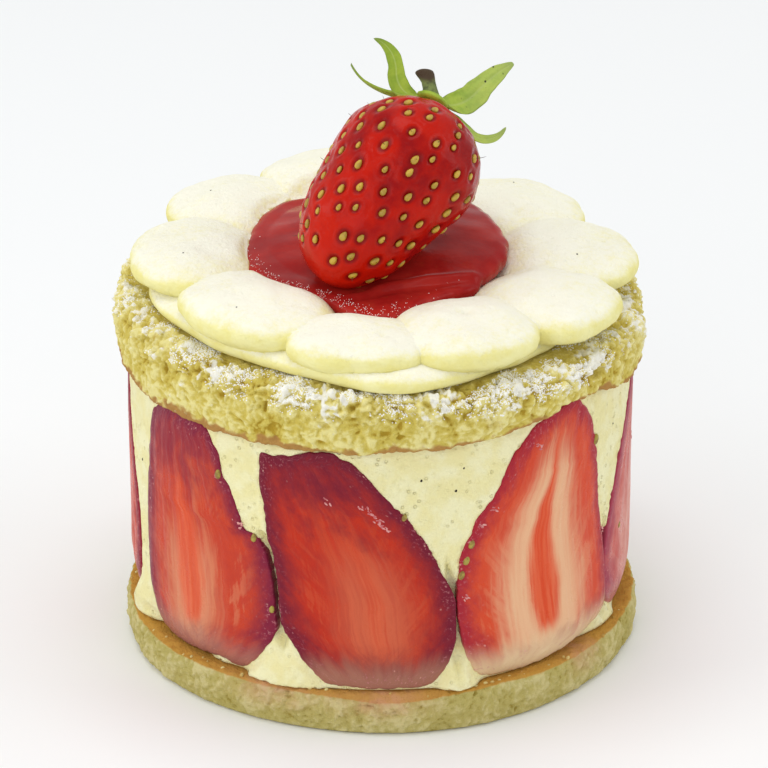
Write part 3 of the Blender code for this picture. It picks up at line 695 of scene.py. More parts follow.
# thin film of cream on the ledge: angle, half spread, reach
CREAM_FILMS = (
    (-34.0, 5.0, 0.0006), (-22.0, 7.0, 0.0007), (20.0, 5.0, 0.0008), (31.0, 6.0, 0.0010),
    (104.0, 7.0, 0.0006),
)
# where the cream stays back under a halved strawberry's foot: angle, half spread, depth
FOOT_GAPS = ((-54.0, 11.0, 0.0026), (44.0, 15.0, 0.0020), (84.0, 8.0, 0.0012), (176.0, 11.0, 0.0012))


def seam(angle, radius):
    """Height of the joint between filling and upper sponge: wavy at the rim, arched over a tall berry."""
    waves = 0.0003 * np.sin(3 * angle + 0.6) + 0.0002 * np.sin(7 * angle)
    arch = 0.0030 * bump(angle, 46.0, 17.0)
    share = np.clip((radius - SEAM_START) / (RING_RADIUS - SEAM_START), 0, 1)
    return FILLING_TOP + (waves + arch) * share


def slice_share(shape, angle, height):
    """Where a point lies in a halved strawberry's outline: 0 in the middle, 1 on the edge."""
    aside = ((angle - shape[0][0] / RING_RADIUS + math.pi) % TURN - math.pi) * RING_RADIUS
    rise = height - shape[0][1]
    return np.hypot(aside, rise) / outline_reach(shape, np.arctan2(rise, aside))


# bubbles, small pits with painted shade in them, and soft colour changes of whipped custard cream
custard, (place, pale, deep, pits), made = node_group(
    "custard cream",
    (("Vector", "Place"), ("Color", "Pale, Deep"), ("Float", "Pits")),
    (("Color", "Color"), ("Float", "Height")),
)
pit = graded(grains_of(place, 0.0011), 0.08, 0.3, 1.0, 0.0)
pit = pit * graded(speckle(place, 0.004, 1.0), 0.38, 0.58) * pits
colour = mixed(graded(speckle(place, 0.0035, 4.0), 0.36, 0.62), pale, deep)
# painted shade: the pits take a deeper yellow
plug(made["Color"], mixed(pit * 0.5, colour, mixed(0.6, deep, (0.84, 0.74, 0.26))))
plug(made["Height"], speckle(place, 0.0006, 5.0, 0.65) - pit)

angles = full_turn(FILLING_COLUMNS)
floor_height = BASE_HEIGHT + GAP
levels = np.linspace(0, 1, FILLING_ROWS)[:, None]
height = floor_height + (seam(angles, RING_RADIUS) - floor_height) * levels
places = around(angles + 0 * height, RING_RADIUS, height)
radius = RING_RADIUS - 0.00005 + 0.00009 * lumps(places, 0.004) + 0.00005 * lumps(places, 0.0012)
for middle, spread, top, out in CREAM_FEET:
    low = np.clip((top - height) / (top - BASE_HEIGHT), 0, 1)
    radius = radius + out * bump(angles, middle, spread) * np.sin(math.pi * np.clip(low * 0.62, 0, 1))
ragged = 0.6 + 0.8 * lumps(around(angles, 0.03, 0.01), 0.0016)
ragged = ragged + 0.3 * lumps(around(angles, 0.03, 0.02), 0.0011)
for middle, spread, out in CREAM_FILMS:
    thin = smooth_step(0.00075, 0.0003, height - floor_height)
    radius = radius + out * np.clip(bump(angles, middle, spread) * ragged, 0, 1.3) * thin
for middle, spread, deep in FOOT_GAPS:
    gap = deep * np.clip(1.4 * bump(angles, middle, spread), 0, 1)
    radius = radius - gap * smooth_step(0.0092, 0.0072, height)
small = granules(places, 0.0013, 8.0)
radius -= 0.00020 * smooth_step(0.40, 0.10, small) * smooth_step(-0.2, 0.3, lumps(places, 0.005, 6.0))
bubbles = granules(places, 0.0026, 3.0)
radius -= 0.00028 * smooth_step(0.30, 0.08, bubbles) * smooth_step(0.0, 0.35, lumps(places, 0.006, 2.0))
berry_near = np.full(height.shape, 9.0)
berry_next = np.full(height.shape, 9.0)
for number in range(1, 9):
    share = slice_share(shapes[number], angles, height)
    berry_next = np.minimum(berry_next, np.maximum(berry_near, share))
    berry_near = np.minimum(berry_near, share)
    pocket = (1 - np.clip(share / POCKET_SHARE, 0, 1) ** 2.2) ** (1 / 2.4)
    behind_face = face_radius(height, FOOT_RECESS.get(number, FACE_RECESS)) - GAP
    radius = np.where(share < POCKET_SHARE, behind_face - SLICE_DEPTH * pocket, radius)
    radius = radius + (np.minimum(radius, behind_face) - radius) * smooth_step(1.08, 1.015, share)
lip = smooth_step(1.10, 1.03, berry_near) - smooth_step(1.03, 0.99, berry_near)
radius = radius + np.where(berry_near >= POCKET_SHARE, 0.00014 * lip, 0.0)
radius = radius - 0.0014 * smooth_step(1.16, 1.08, berry_next) * (berry_near >= POCKET_SHARE)
rings = around(angles, radius, height)
inner = around(angles, SEAM_START, FILLING_TOP)
rings = np.concatenate((rings, inner[None]))
cream_finish, shader, place = new_finish("vanilla cream", roughness=0.55, specular=0.12)
look = place_group(shader, custard, place, (0.93, 0.89, 0.55), (0.89, 0.82, 0.42), 0.8)
coloured(shader, look["Color"], look["Height"], 0.00030)
filling = closed_skin("vanilla_cream", (0, 0, floor_height), rings, (0, 0, FILLING_TOP), cream_finish)
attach(filling, "root")
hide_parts("cream_filling")

# Upper sponge
# A second disc of the same sponge, torn more than cut at its side and wider than the filling. Its underside
# keeps the browned skin, which shows as a thin line, and its rim carries lumps of icing sugar.
LID_RADIUS = 0.0366
LID_TOP = 0.0508
LID_TILT_X = -0.026
LID_TILT_Y = 0.018
LID_RELIEF = 0.00060
LID_COLUMNS = 1140
LID_ROWS = 84
# share of the radius and of the height for the corners of the torn side and rim
LID_PROFILE = (
    (0.9563, 0.0), (0.975, 0.005), (0.992, 0.04), (1.0, 0.22), (1.003, 0.42), (1.0, 0.62), (0.996, 0.8),
    (0.975, 0.96), (0.93, 1.0), (0.88, 1.0), (0.80, 1.0),
)
# icing sugar banked on the rim: angle, half spread, amount; and thinly everywhere on the side
SUGAR_BANKS = (
    (-75.0, 22.0, 0.55), (-42.0, 12.0, 0.80), (-12.0, 9.0, 0.85), (12.0, 8.0, 0.65), (32.0, 9.0, 0.95),
    (52.0, 14.0, 0.95), (90.0, 24.0, 0.6), (135.0, 20.0, 0.8), (180.0, 24.0, 0.7), (228.0, 20.0, 0.8),
)
SIDE_DUST = 0.22
# holes torn in the side: angle, then height in the cake, width, height and depth in millimetres
LID_HOLES = (
    (53.5, 47.6, 2.4, 1.1, 1.5), (-31.0, 48.6, 1.6, 0.9, 0.9), (24.0, 45.2, 1.8, 1.0, 0.9),
    (-12.0, 46.2, 1.5, 1.0, 0.8), (95.0, 46.8, 2.0, 1.2, 1.1), (150.0, 47.0, 1.8, 1.4, 1.0),
    (205.0, 46.0, 2.2, 1.0, 1.1), (260.0, 47.2, 1.6, 1.2, 0.9),
)


def lid_face(x, y):
    """Height of the upper sponge's top face, which isn't quite level."""
    return LID_TOP + LID_TILT_X * x + LID_TILT_Y * y


angles = full_turn(LID_COLUMNS)
outline = 1 + 0.007 * np.sin(2 * angles + 0.4) + 0.004 * np.sin(3 * angles)
profile = smooth_through(LID_PROFILE, LID_ROWS)
share, level = profile[:, :1], profile[:, 1:]
low = seam(angles, RING_RADIUS) + GAP
flat = around(angles, LID_RADIUS * share, 0)
height = low + (lid_face(flat[..., 0], flat[..., 1]) - low) * level
rings = around(angles, LID_RADIUS * share * outline, height)
torn = smooth_step(-0.03, 0.06, level) * smooth_step(0.82, 0.93, share)
rim_line = around(angles, LID_RADIUS, 0.0)
hanging = lumps(rim_line, 0.0052, 2.0) + 0.6 * lumps(rim_line, 0.0017, 4.0)
rings[..., 2] -= 0.00042 * (0.25 + hanging) * smooth_step(0.968, 0.99, share) * smooth_step(0.5, 0.1, level)
crumb_relief = torn_crumb(rings, coarse=0.8, medium=0.8, fine=0.7, hollow=0.8)
rough = 0.5 + 0.7 * smooth_step(0.3, 0.9, level)
push = LID_RELIEF * crumb_relief * rough
sugar = sum(amount * bump(angles, middle, spread) for middle, spread, amount in SUGAR_BANKS)
below_rim = (lid_face(rings[..., 0], rings[..., 1]) - rings[..., 2]) / 0.001
sugar = sugar * smooth_step(4.2, 0.6, below_rim) * smooth_step(0.86, 0.94, share)
sugar = sugar + SIDE_DUST * smooth_step(0.0, 0.5, level)
clump = 0.6 * lumps(rings, 0.0034, 5.0) + 0.7 * lumps(rings, 0.0012, 2.0) + 0.4 * lumps(rings, 0.0006, 3.0)
sugar = np.clip(sugar * (0.25 + smooth_step(-0.2, 0.55, clump)), 0, 1.2)
lumpy = 0.4 + lumps(rings, 0.0009, 6.0) + 0.8 * lumps(rings, 0.0005, 1.0)
push = push + 0.00028 * smooth_step(0.4, 0.9, sugar) * lumpy
for middle, rise, width, tall, deep in LID_HOLES:
    aside = ((angles / DEGREE - middle + 180) % 360 - 180) * DEGREE * LID_RADIUS
    away = (aside / (width * 0.0005)) ** 2 + ((rings[..., 2] - rise * 0.001) / (tall * 0.0005)) ** 2
    push = push - deep * 0.001 * np.exp(-(away**1.5))
rings = stood_out(rings, push * torn)
patchy = lumps(rings, 0.0045, 3.0) + 0.5 * lumps(rings, 0.0014, 1.0)
underneath = smooth_step(0.20 + 0.24 * patchy, 0.02, level) * (share > 0.9) * (0.8 + 0.5 * patchy)
brown_spot = 0.9 * bump(angles, -78.0, 5.0) * smooth_step(0.4, 0.1, level)
browned = np.clip(underneath + brown_spot, 0, 1)
# the first tone, the crumb's relief, sets painted shade in its hollows and painted light on its lumps: the
# first colour is the painted light and the third the painted shade
tone = np.stack((0.55 + 0.42 * crumb_relief * torn, browned, 0 * crumb_relief), -1)
sponge_above = sponge_finish(
    "upper sponge", (0.84, 0.75, 0.31), (0.66, 0.535, 0.115), (0.46, 0.31, 0.035), (0.46, 0.25, 0.075)
)
under = around(angles, SEAM_START, FILLING_TOP + GAP)[None]
lid = closed_skin(
    "upper_sponge", (0, 0, FILLING_TOP + GAP), np.concatenate((under, rings)), (0, 0, LID_TOP), sponge_above,
    crumb=np.concatenate((tone[:1], tone)), sugar=np.concatenate((sugar[:1], sugar)),
)
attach(lid, "root")
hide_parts("top_sponge")

# Piped cream
# A bed of the same cream spread on the upper sponge, with ten petals piped on it through a wide plain nozzle,
# each pressed full at the rim and drawn towards the middle. Icing sugar lies on everything that faces up.
BED_THICKNESS = 0.0019
BED_RADIUS = 0.0310
BED_LOBES = ((-44.0, 15.0, 0.0009), (-70.0, 9.0, 0.0007), (-22.0, 8.0, 0.0005))  # angle, half spread, reach
# petals: angle, radius of the outer end, length, width, height above the sponge
PETALS = (
    (-88.0, 0.0345, 0.0212, 0.0216, 0.0070), (-43.0, 0.0334, 0.0205, 0.0214, 0.0072),
    (-6.0, 0.0345, 0.0168, 0.0190, 0.0064), (25.5, 0.0352, 0.0206, 0.0196, 0.0072),
    (59.0, 0.0362, 0.0222, 0.0190, 0.0070), (96.0, 0.0358, 0.0226, 0.0206, 0.0070),
    (134.0, 0.0352, 0.0222, 0.0210, 0.0068), (170.0, 0.0350, 0.0216, 0.0196, 0.0078),
    (198.0, 0.0346, 0.0216, 0.0180, 0.0084), (231.0, 0.0352, 0.0220, 0.0204, 0.0070),
)
PETAL_SEGMENTS = 104
PETAL_RINGS = 60
PETAL_FOOT = 0.0003
PETAL_DROP = 0.5  # the inner end is this share lower
# holes and knocks in the cream: x and y, width and depth in millimetres, then small pits strewn at random
PETAL_MARKS = (
    (11.2, -23.4, 1.5, 0.7), (0.5, -29.6, 1.1, 0.45), (19.1, 12.0, 1.5, 0.5), (-20.0, -22.0, 0.9, 0.3),
)
PETAL_PITS = 34
BED_COLUMNS = 300
BED_PROFILE = (
    (0.95, 0.0), (0.985, 0.08), (1.0, 0.42), (0.99, 0.74), (0.955, 0.98), (0.90, 1.08), (0.82, 1.0),
    (0.6, 1.0),
)

# icing sugar on what faces up: white, in clouds and with powder at its edge
dusting, (place, under, amount), made = node_group(
    "icing sugar", (("Vector", "Place"), ("Color", "Under"), ("Float", "Amount")), (("Color", "Color"),)
)
facing = parts_of(wired(dusting, "ShaderNodeNewGeometry", "Normal"))[2]
lie = swayed(swayed(facing, speckle(place, 0.0009, 6.0, 0.75), 0.9), speckle(place, 0.006, 3.0), 0.6)
plug(made["Color"], mixed(graded(lie, 0.35, 1.05) * amount, under, (0.955, 0.94, 0.835)))

angles = full_turn(BED_COLUMNS)
corners = smooth_through(BED_PROFILE, 30)
spread = BED_RADIUS + 0.0046 * bump(angles, 2.0, 24.0) + 0.0012 * bump(angles, -88.0, 26.0)
spread = spread + sum(reach * bump(angles, middle, half) for middle, half, reach in BED_LOBES)
spread = spread + 0.0004 * np.sin(5 * angles) + 0.0003 * np.sin(9 * angles + 1.0)
spread = spread + 0.0003 * lumps(around(angles, 0.03, 0.0), 0.004)
flat = around(angles, spread * corners[:, :1], 0)
flat[..., 2] = lid_face(flat[..., 0], flat[..., 1]) + GAP + BED_THICKNESS * corners[:, 1:]
front_lobe = 0.0008 * bump(angles, 2.0, 22.0) + 0.0004 * bump(angles, -45.0, 20.0)
flat[..., 2] += (front_lobe + 0.0003 * lumps(flat * (1, 1, 0), 0.005)) * corners[:, 1:]
piped_finish, shader, place = new_finish("piped cream with icing sugar", roughness=0.7, specular=0.08)
look = place_group(shader, custard, place, (0.92, 0.87, 0.43), (0.88, 0.81, 0.32), 0.25)
dust = place_group(shader, dusting, place, look["Color"], 0.88)
coloured(shader, dust["Color"], look["Height"], 0.00026)
bed_top = LID_TOP + GAP
bed = closed_skin("piped_cream_petals", (0, 0, bed_top), flat, (0, 0, bed_top + BED_THICKNESS), piped_finish)


def petal(name, angle, outer, length, width, height):
    """One piped petal, as a closed skin."""
    heading = angle * DEGREE
    middle = (height + PETAL_FOOT) / 2
    way = np.cos(math.pi * np.arange(1, PETAL_RINGS + 1) / (PETAL_RINGS + 1))[:, None]
    swell = (1 - way**2) ** 0.42
    step = full_turn(PETAL_SEGMENTS)
    full = [np.sign(v) * np.abs(v) ** 0.9 for v in (np.cos(step), np.sin(step))]
    aside = width / 2 * full[0] * swell * (1 + 0.16 * way)
    drop = 1 - PETAL_DROP * np.minimum(0, way) ** 2
    lift = (middle + (height - middle) * full[1] * swell) * drop
    along = (1 - way) / 2 * length + 0 * step
    inside = np.stack((aside, along, lift), -1)
    soft = 0.00028 * lumps(inside, 0.0055, angle) + 0.0001 * lumps(inside, 0.0018, angle)
    soft = soft + 0.00012 * np.sin(along / 0.0011 + 3 * aside / width) * smooth_step(0.3, 1.0, full[1]) * 0.6

    def on_lid(aside, along, lift):
        flat = around(heading, outer - along, 0)
        x = flat[..., 0] + aside * math.cos(heading)
        y = flat[..., 1] + aside * math.sin(heading)
        return np.stack((x, y, lid_face(x, y) + GAP + lift), -1)

    rings = on_lid(aside, along, lift)
    rings = rings - (stood_out(rings, soft) - rings)
    inner_end = on_lid(0.0, length, middle * (1 - PETAL_DROP))
    return closed_skin(name, on_lid(0.0, 0.0, middle), rings, inner_end, piped_finish)


def combined(piece, tools, operation):
    """Joins the tools to a piece or cuts them from it, applies the result and removes the tools."""
    held = bpy.data.collections.new("tools")
    for tool in tools:
        scene.collection.objects.unlink(tool)
        held.objects.link(tool)
    boolean = piece.modifiers.new("boolean", "BOOLEAN")
    boolean.operation = operation
    boolean.operand_type = "COLLECTION"
    boolean.collection = held
    boolean.solver = "MANIFOLD"
    result = bpy.data.meshes.new_from_object(piece.evaluated_get(bpy.context.evaluated_depsgraph_get()))
    piece.modifiers.remove(boolean)
    piece.data = result
    for tool in tools:
        bpy.data.objects.remove(tool, do_unlink=True)
    bpy.data.collections.remove(held)


COULIS_CENTRE = (-0.0008, 0.0002)
COULIS_MOUND = (0.0022, 0.0022)
COULIS_RADIUS = 0.0180
COULIS_FLOOR = 0.0531
COULIS_EDGE = 0.0571
COULIS_CROWN = 0.0596
COULIS_SLOPE = 0.02
# where the pool runs out between the petals: angle, half spread, reach
COULIS_LOBES = ((1.0, 15.0, 0.0046), (45.0, 8.0, 0.0010), (146.0, 26.0, 0.0016), (-144.0, 24.0, 0.0020))
COULIS_WAVES = ((2, 0.0003, 2.2), (5, 0.0003, 0.5))  # waves of its edge: count, height, shift
COULIS_PROFILE = ((0.88, 0.0), (0.975, 0.4), (1.0, 0.72), (0.98, 0.92), (0.93, 1.0))


def pool_reach(angles):
    """How far the pool reaches from its middle, for each angle in radians."""
    lobes = sum(reach * bump(angles, middle, spread) for middle, spread, reach in COULIS_LOBES)
    waves = sum(height * np.sin(count * angles + shift) for count, height, shift in COULIS_WAVES)
    return COULIS_RADIUS + lobes + waves


def coulis_skin(name, material, columns, rows, grow=0.0, spread=0.0):
    """The pool of coulis, spread a little over its edge, or the hollow for it, grown all round."""
    angles = full_turn(columns)
    inward = np.stack((np.linspace(0.92, 0.02, rows), np.ones(rows)), -1)
    corners = np.vstack((smooth_through(COULIS_PROFILE, 26), inward))
    outline = pool_reach(angles) + 0.00022 * lumps(around(angles, 0.018, 0.0), 0.0022)
    flat = around(angles, outline * corners[:, :1] + grow + spread * corners[:, :1], 0) + (*COULIS_CENTRE, 0)
    off_mound = np.linalg.norm(flat[..., :2] - COULIS_MOUND, axis=-1)
    mound = np.clip(1 - (off_mound / COULIS_RADIUS) ** 2, 0, None)
    top = COULIS_EDGE + (COULIS_CROWN - COULIS_EDGE) * mound + COULIS_SLOPE * flat[..., 1]
    ripple = flat[..., 1] - 0.32 * flat[..., 0] + 0.0150 + 0.0009 * lumps(flat * (1, 1, 0), 0.009)
    front = smooth_step(-0.004, -0.009, flat[..., 1]) * smooth_step(-0.009, 0.0, flat[..., 0])
    ridge = 0.00035 * np.exp(-((ripple / 0.0006) ** 2))
    ridge = ridge - 0.0003 * np.exp(-(((ripple + 0.0014) / 0.0007) ** 2))
    top = top + front * ridge + 0.00016 * lumps(flat * (1, 1, 0), 0.0042, 3.0) + grow
    floor = COULIS_FLOOR - grow
    flat[..., 2] = floor + (top - floor) * corners[:, 1:]
    return closed_skin(name, (*COULIS_CENTRE, floor), flat, (*COULIS_MOUND, COULIS_CROWN + grow), material)


petals = [petal(f"petal_{i}", *row) for i, row in enumerate(PETALS)]
combined(bed, petals, "UNION")
points = np.array([v.co for v in bed.data.vertices])
off_pool = points[:, :2] - COULIS_CENTRE
past_edge = np.hypot(*off_pool.T) / pool_reach(np.arctan2(off_pool[:, 0], -off_pool[:, 1])) - 1
brim = COULIS_EDGE + COULIS_SLOPE * points[:, 1] - 0.0004 + COULIS_RADIUS * np.clip(past_edge, 0, None)
points[:, 2] = np.minimum(points[:, 2], brim)
bed.data.vertices.foreach_set("co", points.ravel())
combined(bed, [coulis_skin("coulis hollow", piped_finish, 200, 40, grow=0.0001)], "DIFFERENCE")
points = np.array([v.co for v in bed.data.vertices])
normals = np.array([v.normal for v in bed.data.vertices])
randomness = np.random.default_rng(12)
turns = randomness.uniform(0, TURN, PETAL_PITS)
reaches = randomness.uniform(21.0, 33.0, PETAL_PITS)
widths = randomness.uniform(0.6, 1.1, PETAL_PITS)
pits = np.stack((reaches * np.sin(turns), -reaches * np.cos(turns), widths, 0.22 * widths), -1)
for x, y, width, depth in np.vstack((PETAL_MARKS, pits)):
    away = np.linalg.norm(points[:, :2] - np.array((x, y)) * 0.001, axis=1) / (width * 0.0005)
    sunk = depth * 0.001 * np.exp(-(away**2)) * smooth_step(0.2, 0.5, normals[:, 2])
    points -= normals * sunk[:, None]
bed.data.vertices.foreach_set("co", points.ravel())
bed.data.update()
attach(bed, "root")
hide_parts("piped_cream")

# Strawberry coulis
# A pool of thick, sieved strawberry sauce poured into the middle of the petals. It stays mounded where the
# berry stands in it, runs in ripples at the front, and is glossy.
coulis_finish, shader, place = new_finish("strawberry coulis", roughness=0.15, specular=0.10)
sauce = mottled(place, 0.005, 4.0, 0.35, 0.7, (0.31, 0.010, 0.009), (0.41, 0.021, 0.015))
coloured(shader, sauce, speckle(place, 0.0012, 3.0), 0.00004)
coulis = coulis_skin("coulis_pool", coulis_finish, 360, 60, spread=0.00045)
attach(coulis, "root")
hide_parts("strawberry_coulis")

# Whole strawberry
# A fresh strawberry stood leaning in the coulis. Its skin is dimpled, with a small golden seed in each dimple
# and a few dry hairs left between them.
BERRY_TIP = Vector((-0.00835, -0.0150, 0.05885))
BERRY_CROWN = Vector((0.0099, -0.0002, 0.07645))
BERRY_BEND = np.array((0.00035, 0.00044, 0.0))  # the middle of the berry lies this far off its axis
BERRY_PROFILE = (
    (0.0, 0.0008), (0.02, 0.0030), (0.06, 0.0047), (0.13, 0.0063), (0.22, 0.0077), (0.34, 0.0085),
    (0.47, 0.00935), (0.6, 0.0100), (0.72, 0.0102), (0.82, 0.0090), (0.89, 0.0075), (0.94, 0.0056),
    (0.975, 0.0045), (1.0, 0.0020),
)
CROWN_HOLLOW = 0.0006
BERRY_COLUMNS = 300
BERRY_ROWS = 230
SEED_COUNT = 142
SEED_BOX = (0.00132, 0.00086, 0.00070)
SEED_SINK = 0.00020
DIMPLE_LENGTH = 0.00106
DIMPLE_WIDTH = 0.00082
DIMPLE_STRETCH = 1.293
DIMPLE_DEPTH = 0.00033
COLLAR_HEIGHT = 0.00006
CALYX_SHIFT = Vector((-0.0034, 0, -0.0002))
CALYX_TILT = -14 * DEGREE  # the calyx leans with the berry's shoulder
berry_length = (BERRY_CROWN - BERRY_TIP).length
berry_axis = (BERRY_CROWN - BERRY_TIP).normalized()
berry_side = Vector((0, 0, 1)).cross(berry_axis).normalized()
berry_turn = np.array(Matrix((berry_side, berry_axis.cross(berry_side), berry_axis)).transposed())
crown_back = berry_axis.cross(Vector((1, 0, 0))).normalized()
crown_frame = Matrix((crown_back.cross(berry_axis), crown_back, berry_axis)).transposed().to_4x4()
crown_frame.translation = BERRY_CROWN + berry_axis * (GAP - CROWN_HOLLOW) + crown_frame.to_3x3() @ CALYX_SHIFT
crown_frame = crown_frame @ Matrix.Rotation(CALYX_TILT, 4, "Y")


def berry_skin(share, radius, angle):
    """Points of the berry's skin in its own frame, for a share of its length, a radius and an angle."""
    radius = radius * (1 + 0.025 * np.cos(2 * angle + 0.7) + 0.02 * np.cos(3 * angle))
    sunk = CROWN_HOLLOW * np.clip((share - 0.93) / 0.07, 0, None)
    height = berry_length * share - sunk + 0 * angle
    bend = np.sin(math.pi * np.clip(share, 0, 1) + 0 * angle)[..., None] * BERRY_BEND
    return np.stack((radius * np.cos(angle), radius * np.sin(angle), height), -1) + bend


def on_cake(points):
    """Points of the berry's own frame on the cake."""
    return points @ berry_turn.T + np.array(BERRY_TIP)


profile = smooth_through([(share * berry_length, radius) for share, radius in BERRY_PROFILE], BERRY_ROWS)
shares, radii = profile[:, :1] / berry_length, profile[:, 1:]
angles = full_turn(BERRY_COLUMNS)
rings = berry_skin(shares, radii, angles)
randomness = np.random.default_rng(21)
order = np.arange(SEED_COUNT)
seed_share = 0.035 + 0.90 * ((order + 0.5) / SEED_COUNT) ** 0.9 + randomness.normal(0, 0.006, SEED_COUNT)
seed_sway = randomness.normal(0, 0.06, SEED_COUNT) / (0.3 + 0.7 * np.sin(np.clip(seed_share, 0, 1) * math.pi))
seed_angle = order * math.pi * (3 - math.sqrt(5)) + seed_sway


def on_skin(share, angle):
    """Points of the berry's skin for a share of its length and an angle."""
    return berry_skin(share, np.interp(share, shares[:, 0], radii[:, 0]), angle)


seed_place = on_skin(seed_share, seed_angle)
ahead = on_skin(seed_share + 0.01, seed_angle)
before = on_skin(seed_share - 0.01, seed_angle)
beside = on_skin(seed_share, seed_angle + 0.02) - seed_place
seed_along = (ahead - before) / np.linalg.norm(ahead - before, axis=1)[:, None]
seed_out = np.cross(beside, seed_along)
seed_out /= np.linalg.norm(seed_out, axis=1)[:, None]
seed_size = randomness.uniform(0.78, 1.14, SEED_COUNT)
dimple = np.zeros(rings.shape[:2])
collar = np.zeros(rings.shape[:2])
for place, along, size in zip(seed_place, seed_along, seed_size):
    offset = rings - place
    lengthwise = (offset @ along) / (DIMPLE_LENGTH * size)
    squared = (offset**2).sum(-1) / (DIMPLE_WIDTH * size) ** 2
    crosswise = np.clip(squared - (lengthwise * DIMPLE_STRETCH) ** 2, 0, None)
    away = np.sqrt(crosswise + lengthwise**2)
    dimple = np.maximum(dimple, np.exp(-(away**2.6)))
    collar = np.maximum(collar, np.exp(-(((away - 1.5) / 0.5) ** 2)))
push = COLLAR_HEIGHT * collar - DIMPLE_DEPTH * dimple
push = push + 0.00020 * lumps(rings, 0.0062) + 0.00011 * lumps(rings, 0.0026)
push = push * smooth_step(1.0, 0.97, shares)
rings = stood_out(rings, push)
from_calyx = np.linalg.norm(on_cake(rings) - np.array(crown_frame.translation), axis=-1)
paleness = smooth_step(0.0040, 0.0022, from_calyx)
tone = np.stack((dimple, paleness, collar), -1)
berry_finish, shader, place = new_finish("strawberry skin", roughness=0.20, specular=0.12)
dimpled, pale, _ = parts_of(tone_of(shader, "skin"))
sideways = parts_of(place)[0]
skin = mottled(place, 0.0075, 3.0, 0.42, 0.66, (0.48, 0.008, 0.002), (0.28, 0.004, 0.005))
skin = mixed(graded(speckle(place, 0.0022, 5.0, 0.7), 0.4, 0.7) * 0.35, skin, (0.58, 0.018, 0.004))
# painted shade on the right side of the berry and painted light on its left side
skin = mixed(graded(sideways, 0.006, 0.014) * 0.55, skin, (0.24, 0.006, 0.006))
skin = mixed(graded(sideways, -0.002, -0.010) * 0.5, skin, (0.60, 0.020, 0.005))
# painted shade: the seed dimples are darkened to a deep red
skin = mixed(graded(dimpled, 0.12, 0.6, 0.0, 0.85), skin, (0.22, 0.004, 0.004))
skin = mixed(pale, skin, (0.72, 0.20, 0.10))
coloured(shader, skin, speckle(place, 0.0007, 3.0), 0.00006)
tip = on_cake(np.array((0.0, 0.0, 0.0)))
end = on_cake(np.array((0.0, 0.0, berry_length - CROWN_HOLLOW)))
berry = closed_skin("fresh_strawberry", tip, on_cake(rings), end, berry_finish, skin=tone)
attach(berry, "root")
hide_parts("whole_strawberry")


def field(tree, name, kind="FLOAT_VECTOR"):
    """What the points hold under a name."""
    return wired(tree, "GeometryNodeInputNamedAttribute", "Attribute", {"data_type": kind}, Name=name)


def grown(name, source, tree, material, *values):
    """The piece that a Geometry Nodes tree makes from a source mesh and some numbers."""
    host = bpy.data.objects.new(name, source)
    scene.collection.objects.link(host)
    maker = host.modifiers.new("maker", "NODES")
    maker.node_group = tree
    inputs = [item for item in tree.interface.items_tree if item.in_out == "INPUT"]
    for item, value in zip(inputs[1:], values):
        maker[item.identifier] = float(value)
    mesh = bpy.data.meshes.new_from_object(host.evaluated_get(bpy.context.evaluated_depsgraph_get()))
    host.modifiers.remove(maker)
    host.data = mesh
    mesh.materials.clear()
    mesh.materials.append(material)
    return host


# small pointed ovals laid on a surface: X lies along it and Z points out of it
laid_ovals, (spots, length, width, thickness, pointedness), made = node_group(
    "laid ovals", (("Geometry", "Geometry"), ("Float", "Length, Width, Thickness, Pointedness")),
    (("Geometry", "Geometry"),), "GeometryNodeTree",
)
ball = wired(laid_ovals, "GeometryNodeMeshIcoSphere", Radius=0.5, Subdivisions=2)
x, y, z = parts_of(wired(laid_ovals, "GeometryNodeInputPosition"))
shaped = spot(x, y * (1.0 - x * pointedness), z)
oval = wired(laid_ovals, "GeometryNodeSetPosition", Geometry=ball, Position=shaped)
oval = wired(laid_ovals, "GeometryNodeTransform", Geometry=oval, Scale=spot(length, width, thickness))
upright = wired(
    laid_ovals, "FunctionNodeAlignRotationToVector", 0, {"axis": "Z"}, Vector=field(laid_ovals, "out")
)
turned = wired(
    laid_ovals, "FunctionNodeAlignRotationToVector", 0, {"axis": "X", "pivot_axis": "Z"}, Rotation=upright,
    Vector=field(laid_ovals, "along"),
)
put = wired(
    laid_ovals, "GeometryNodeInstanceOnPoints", Points=spots, Instance=oval, Rotation=turned,
    Scale=field(laid_ovals, "size", "FLOAT"),
)
real = wired(laid_ovals, "GeometryNodeRealizeInstances", Geometry=put)
plug(made["Geometry"], wired(laid_ovals, "GeometryNodeSetShadeSmooth", Geometry=real))


def laid_pieces(name, places, ways, material, sizes, box, slant=(0.3, 0.2, 1.0), pointedness=0.3):
    """Small ovals of one material laid on a surface. The box is their length, width and thickness."""
    source = bpy.data.meshes.new(name + " places")
    source.from_pydata(np.asarray(places).tolist(), [], [])
    for key, way in (("out", ways), ("along", np.broadcast_to(slant, (len(places), 3)))):
        source.attributes.new(key, "FLOAT_VECTOR", "POINT").data.foreach_set("vector", np.ravel(way))
    source.attributes.new("size", "FLOAT", "POINT").data.foreach_set("value", sizes)
    return grown(name, source, laid_ovals, material, *box, pointedness)


seed_finish, shader, place = new_finish("golden seeds", roughness=0.35, specular=0.5)
gold = mottled(place, 0.0018, 2.0, 0.4, 0.62, (0.56, 0.36, 0.035), (0.38, 0.24, 0.025))
coloured(shader, gold, speckle(place, 0.0003, 2.0), 0.00005)
seed_ways = seed_out @ berry_turn.T
seed_slants = seed_along @ berry_turn.T
seeds = laid_pieces(
    "strawberry_seeds", on_cake(seed_place - seed_out * SEED_SINK), seed_ways, seed_finish, seed_size,
    SEED_BOX, seed_slants, 0.5,
)
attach(seeds, "root")

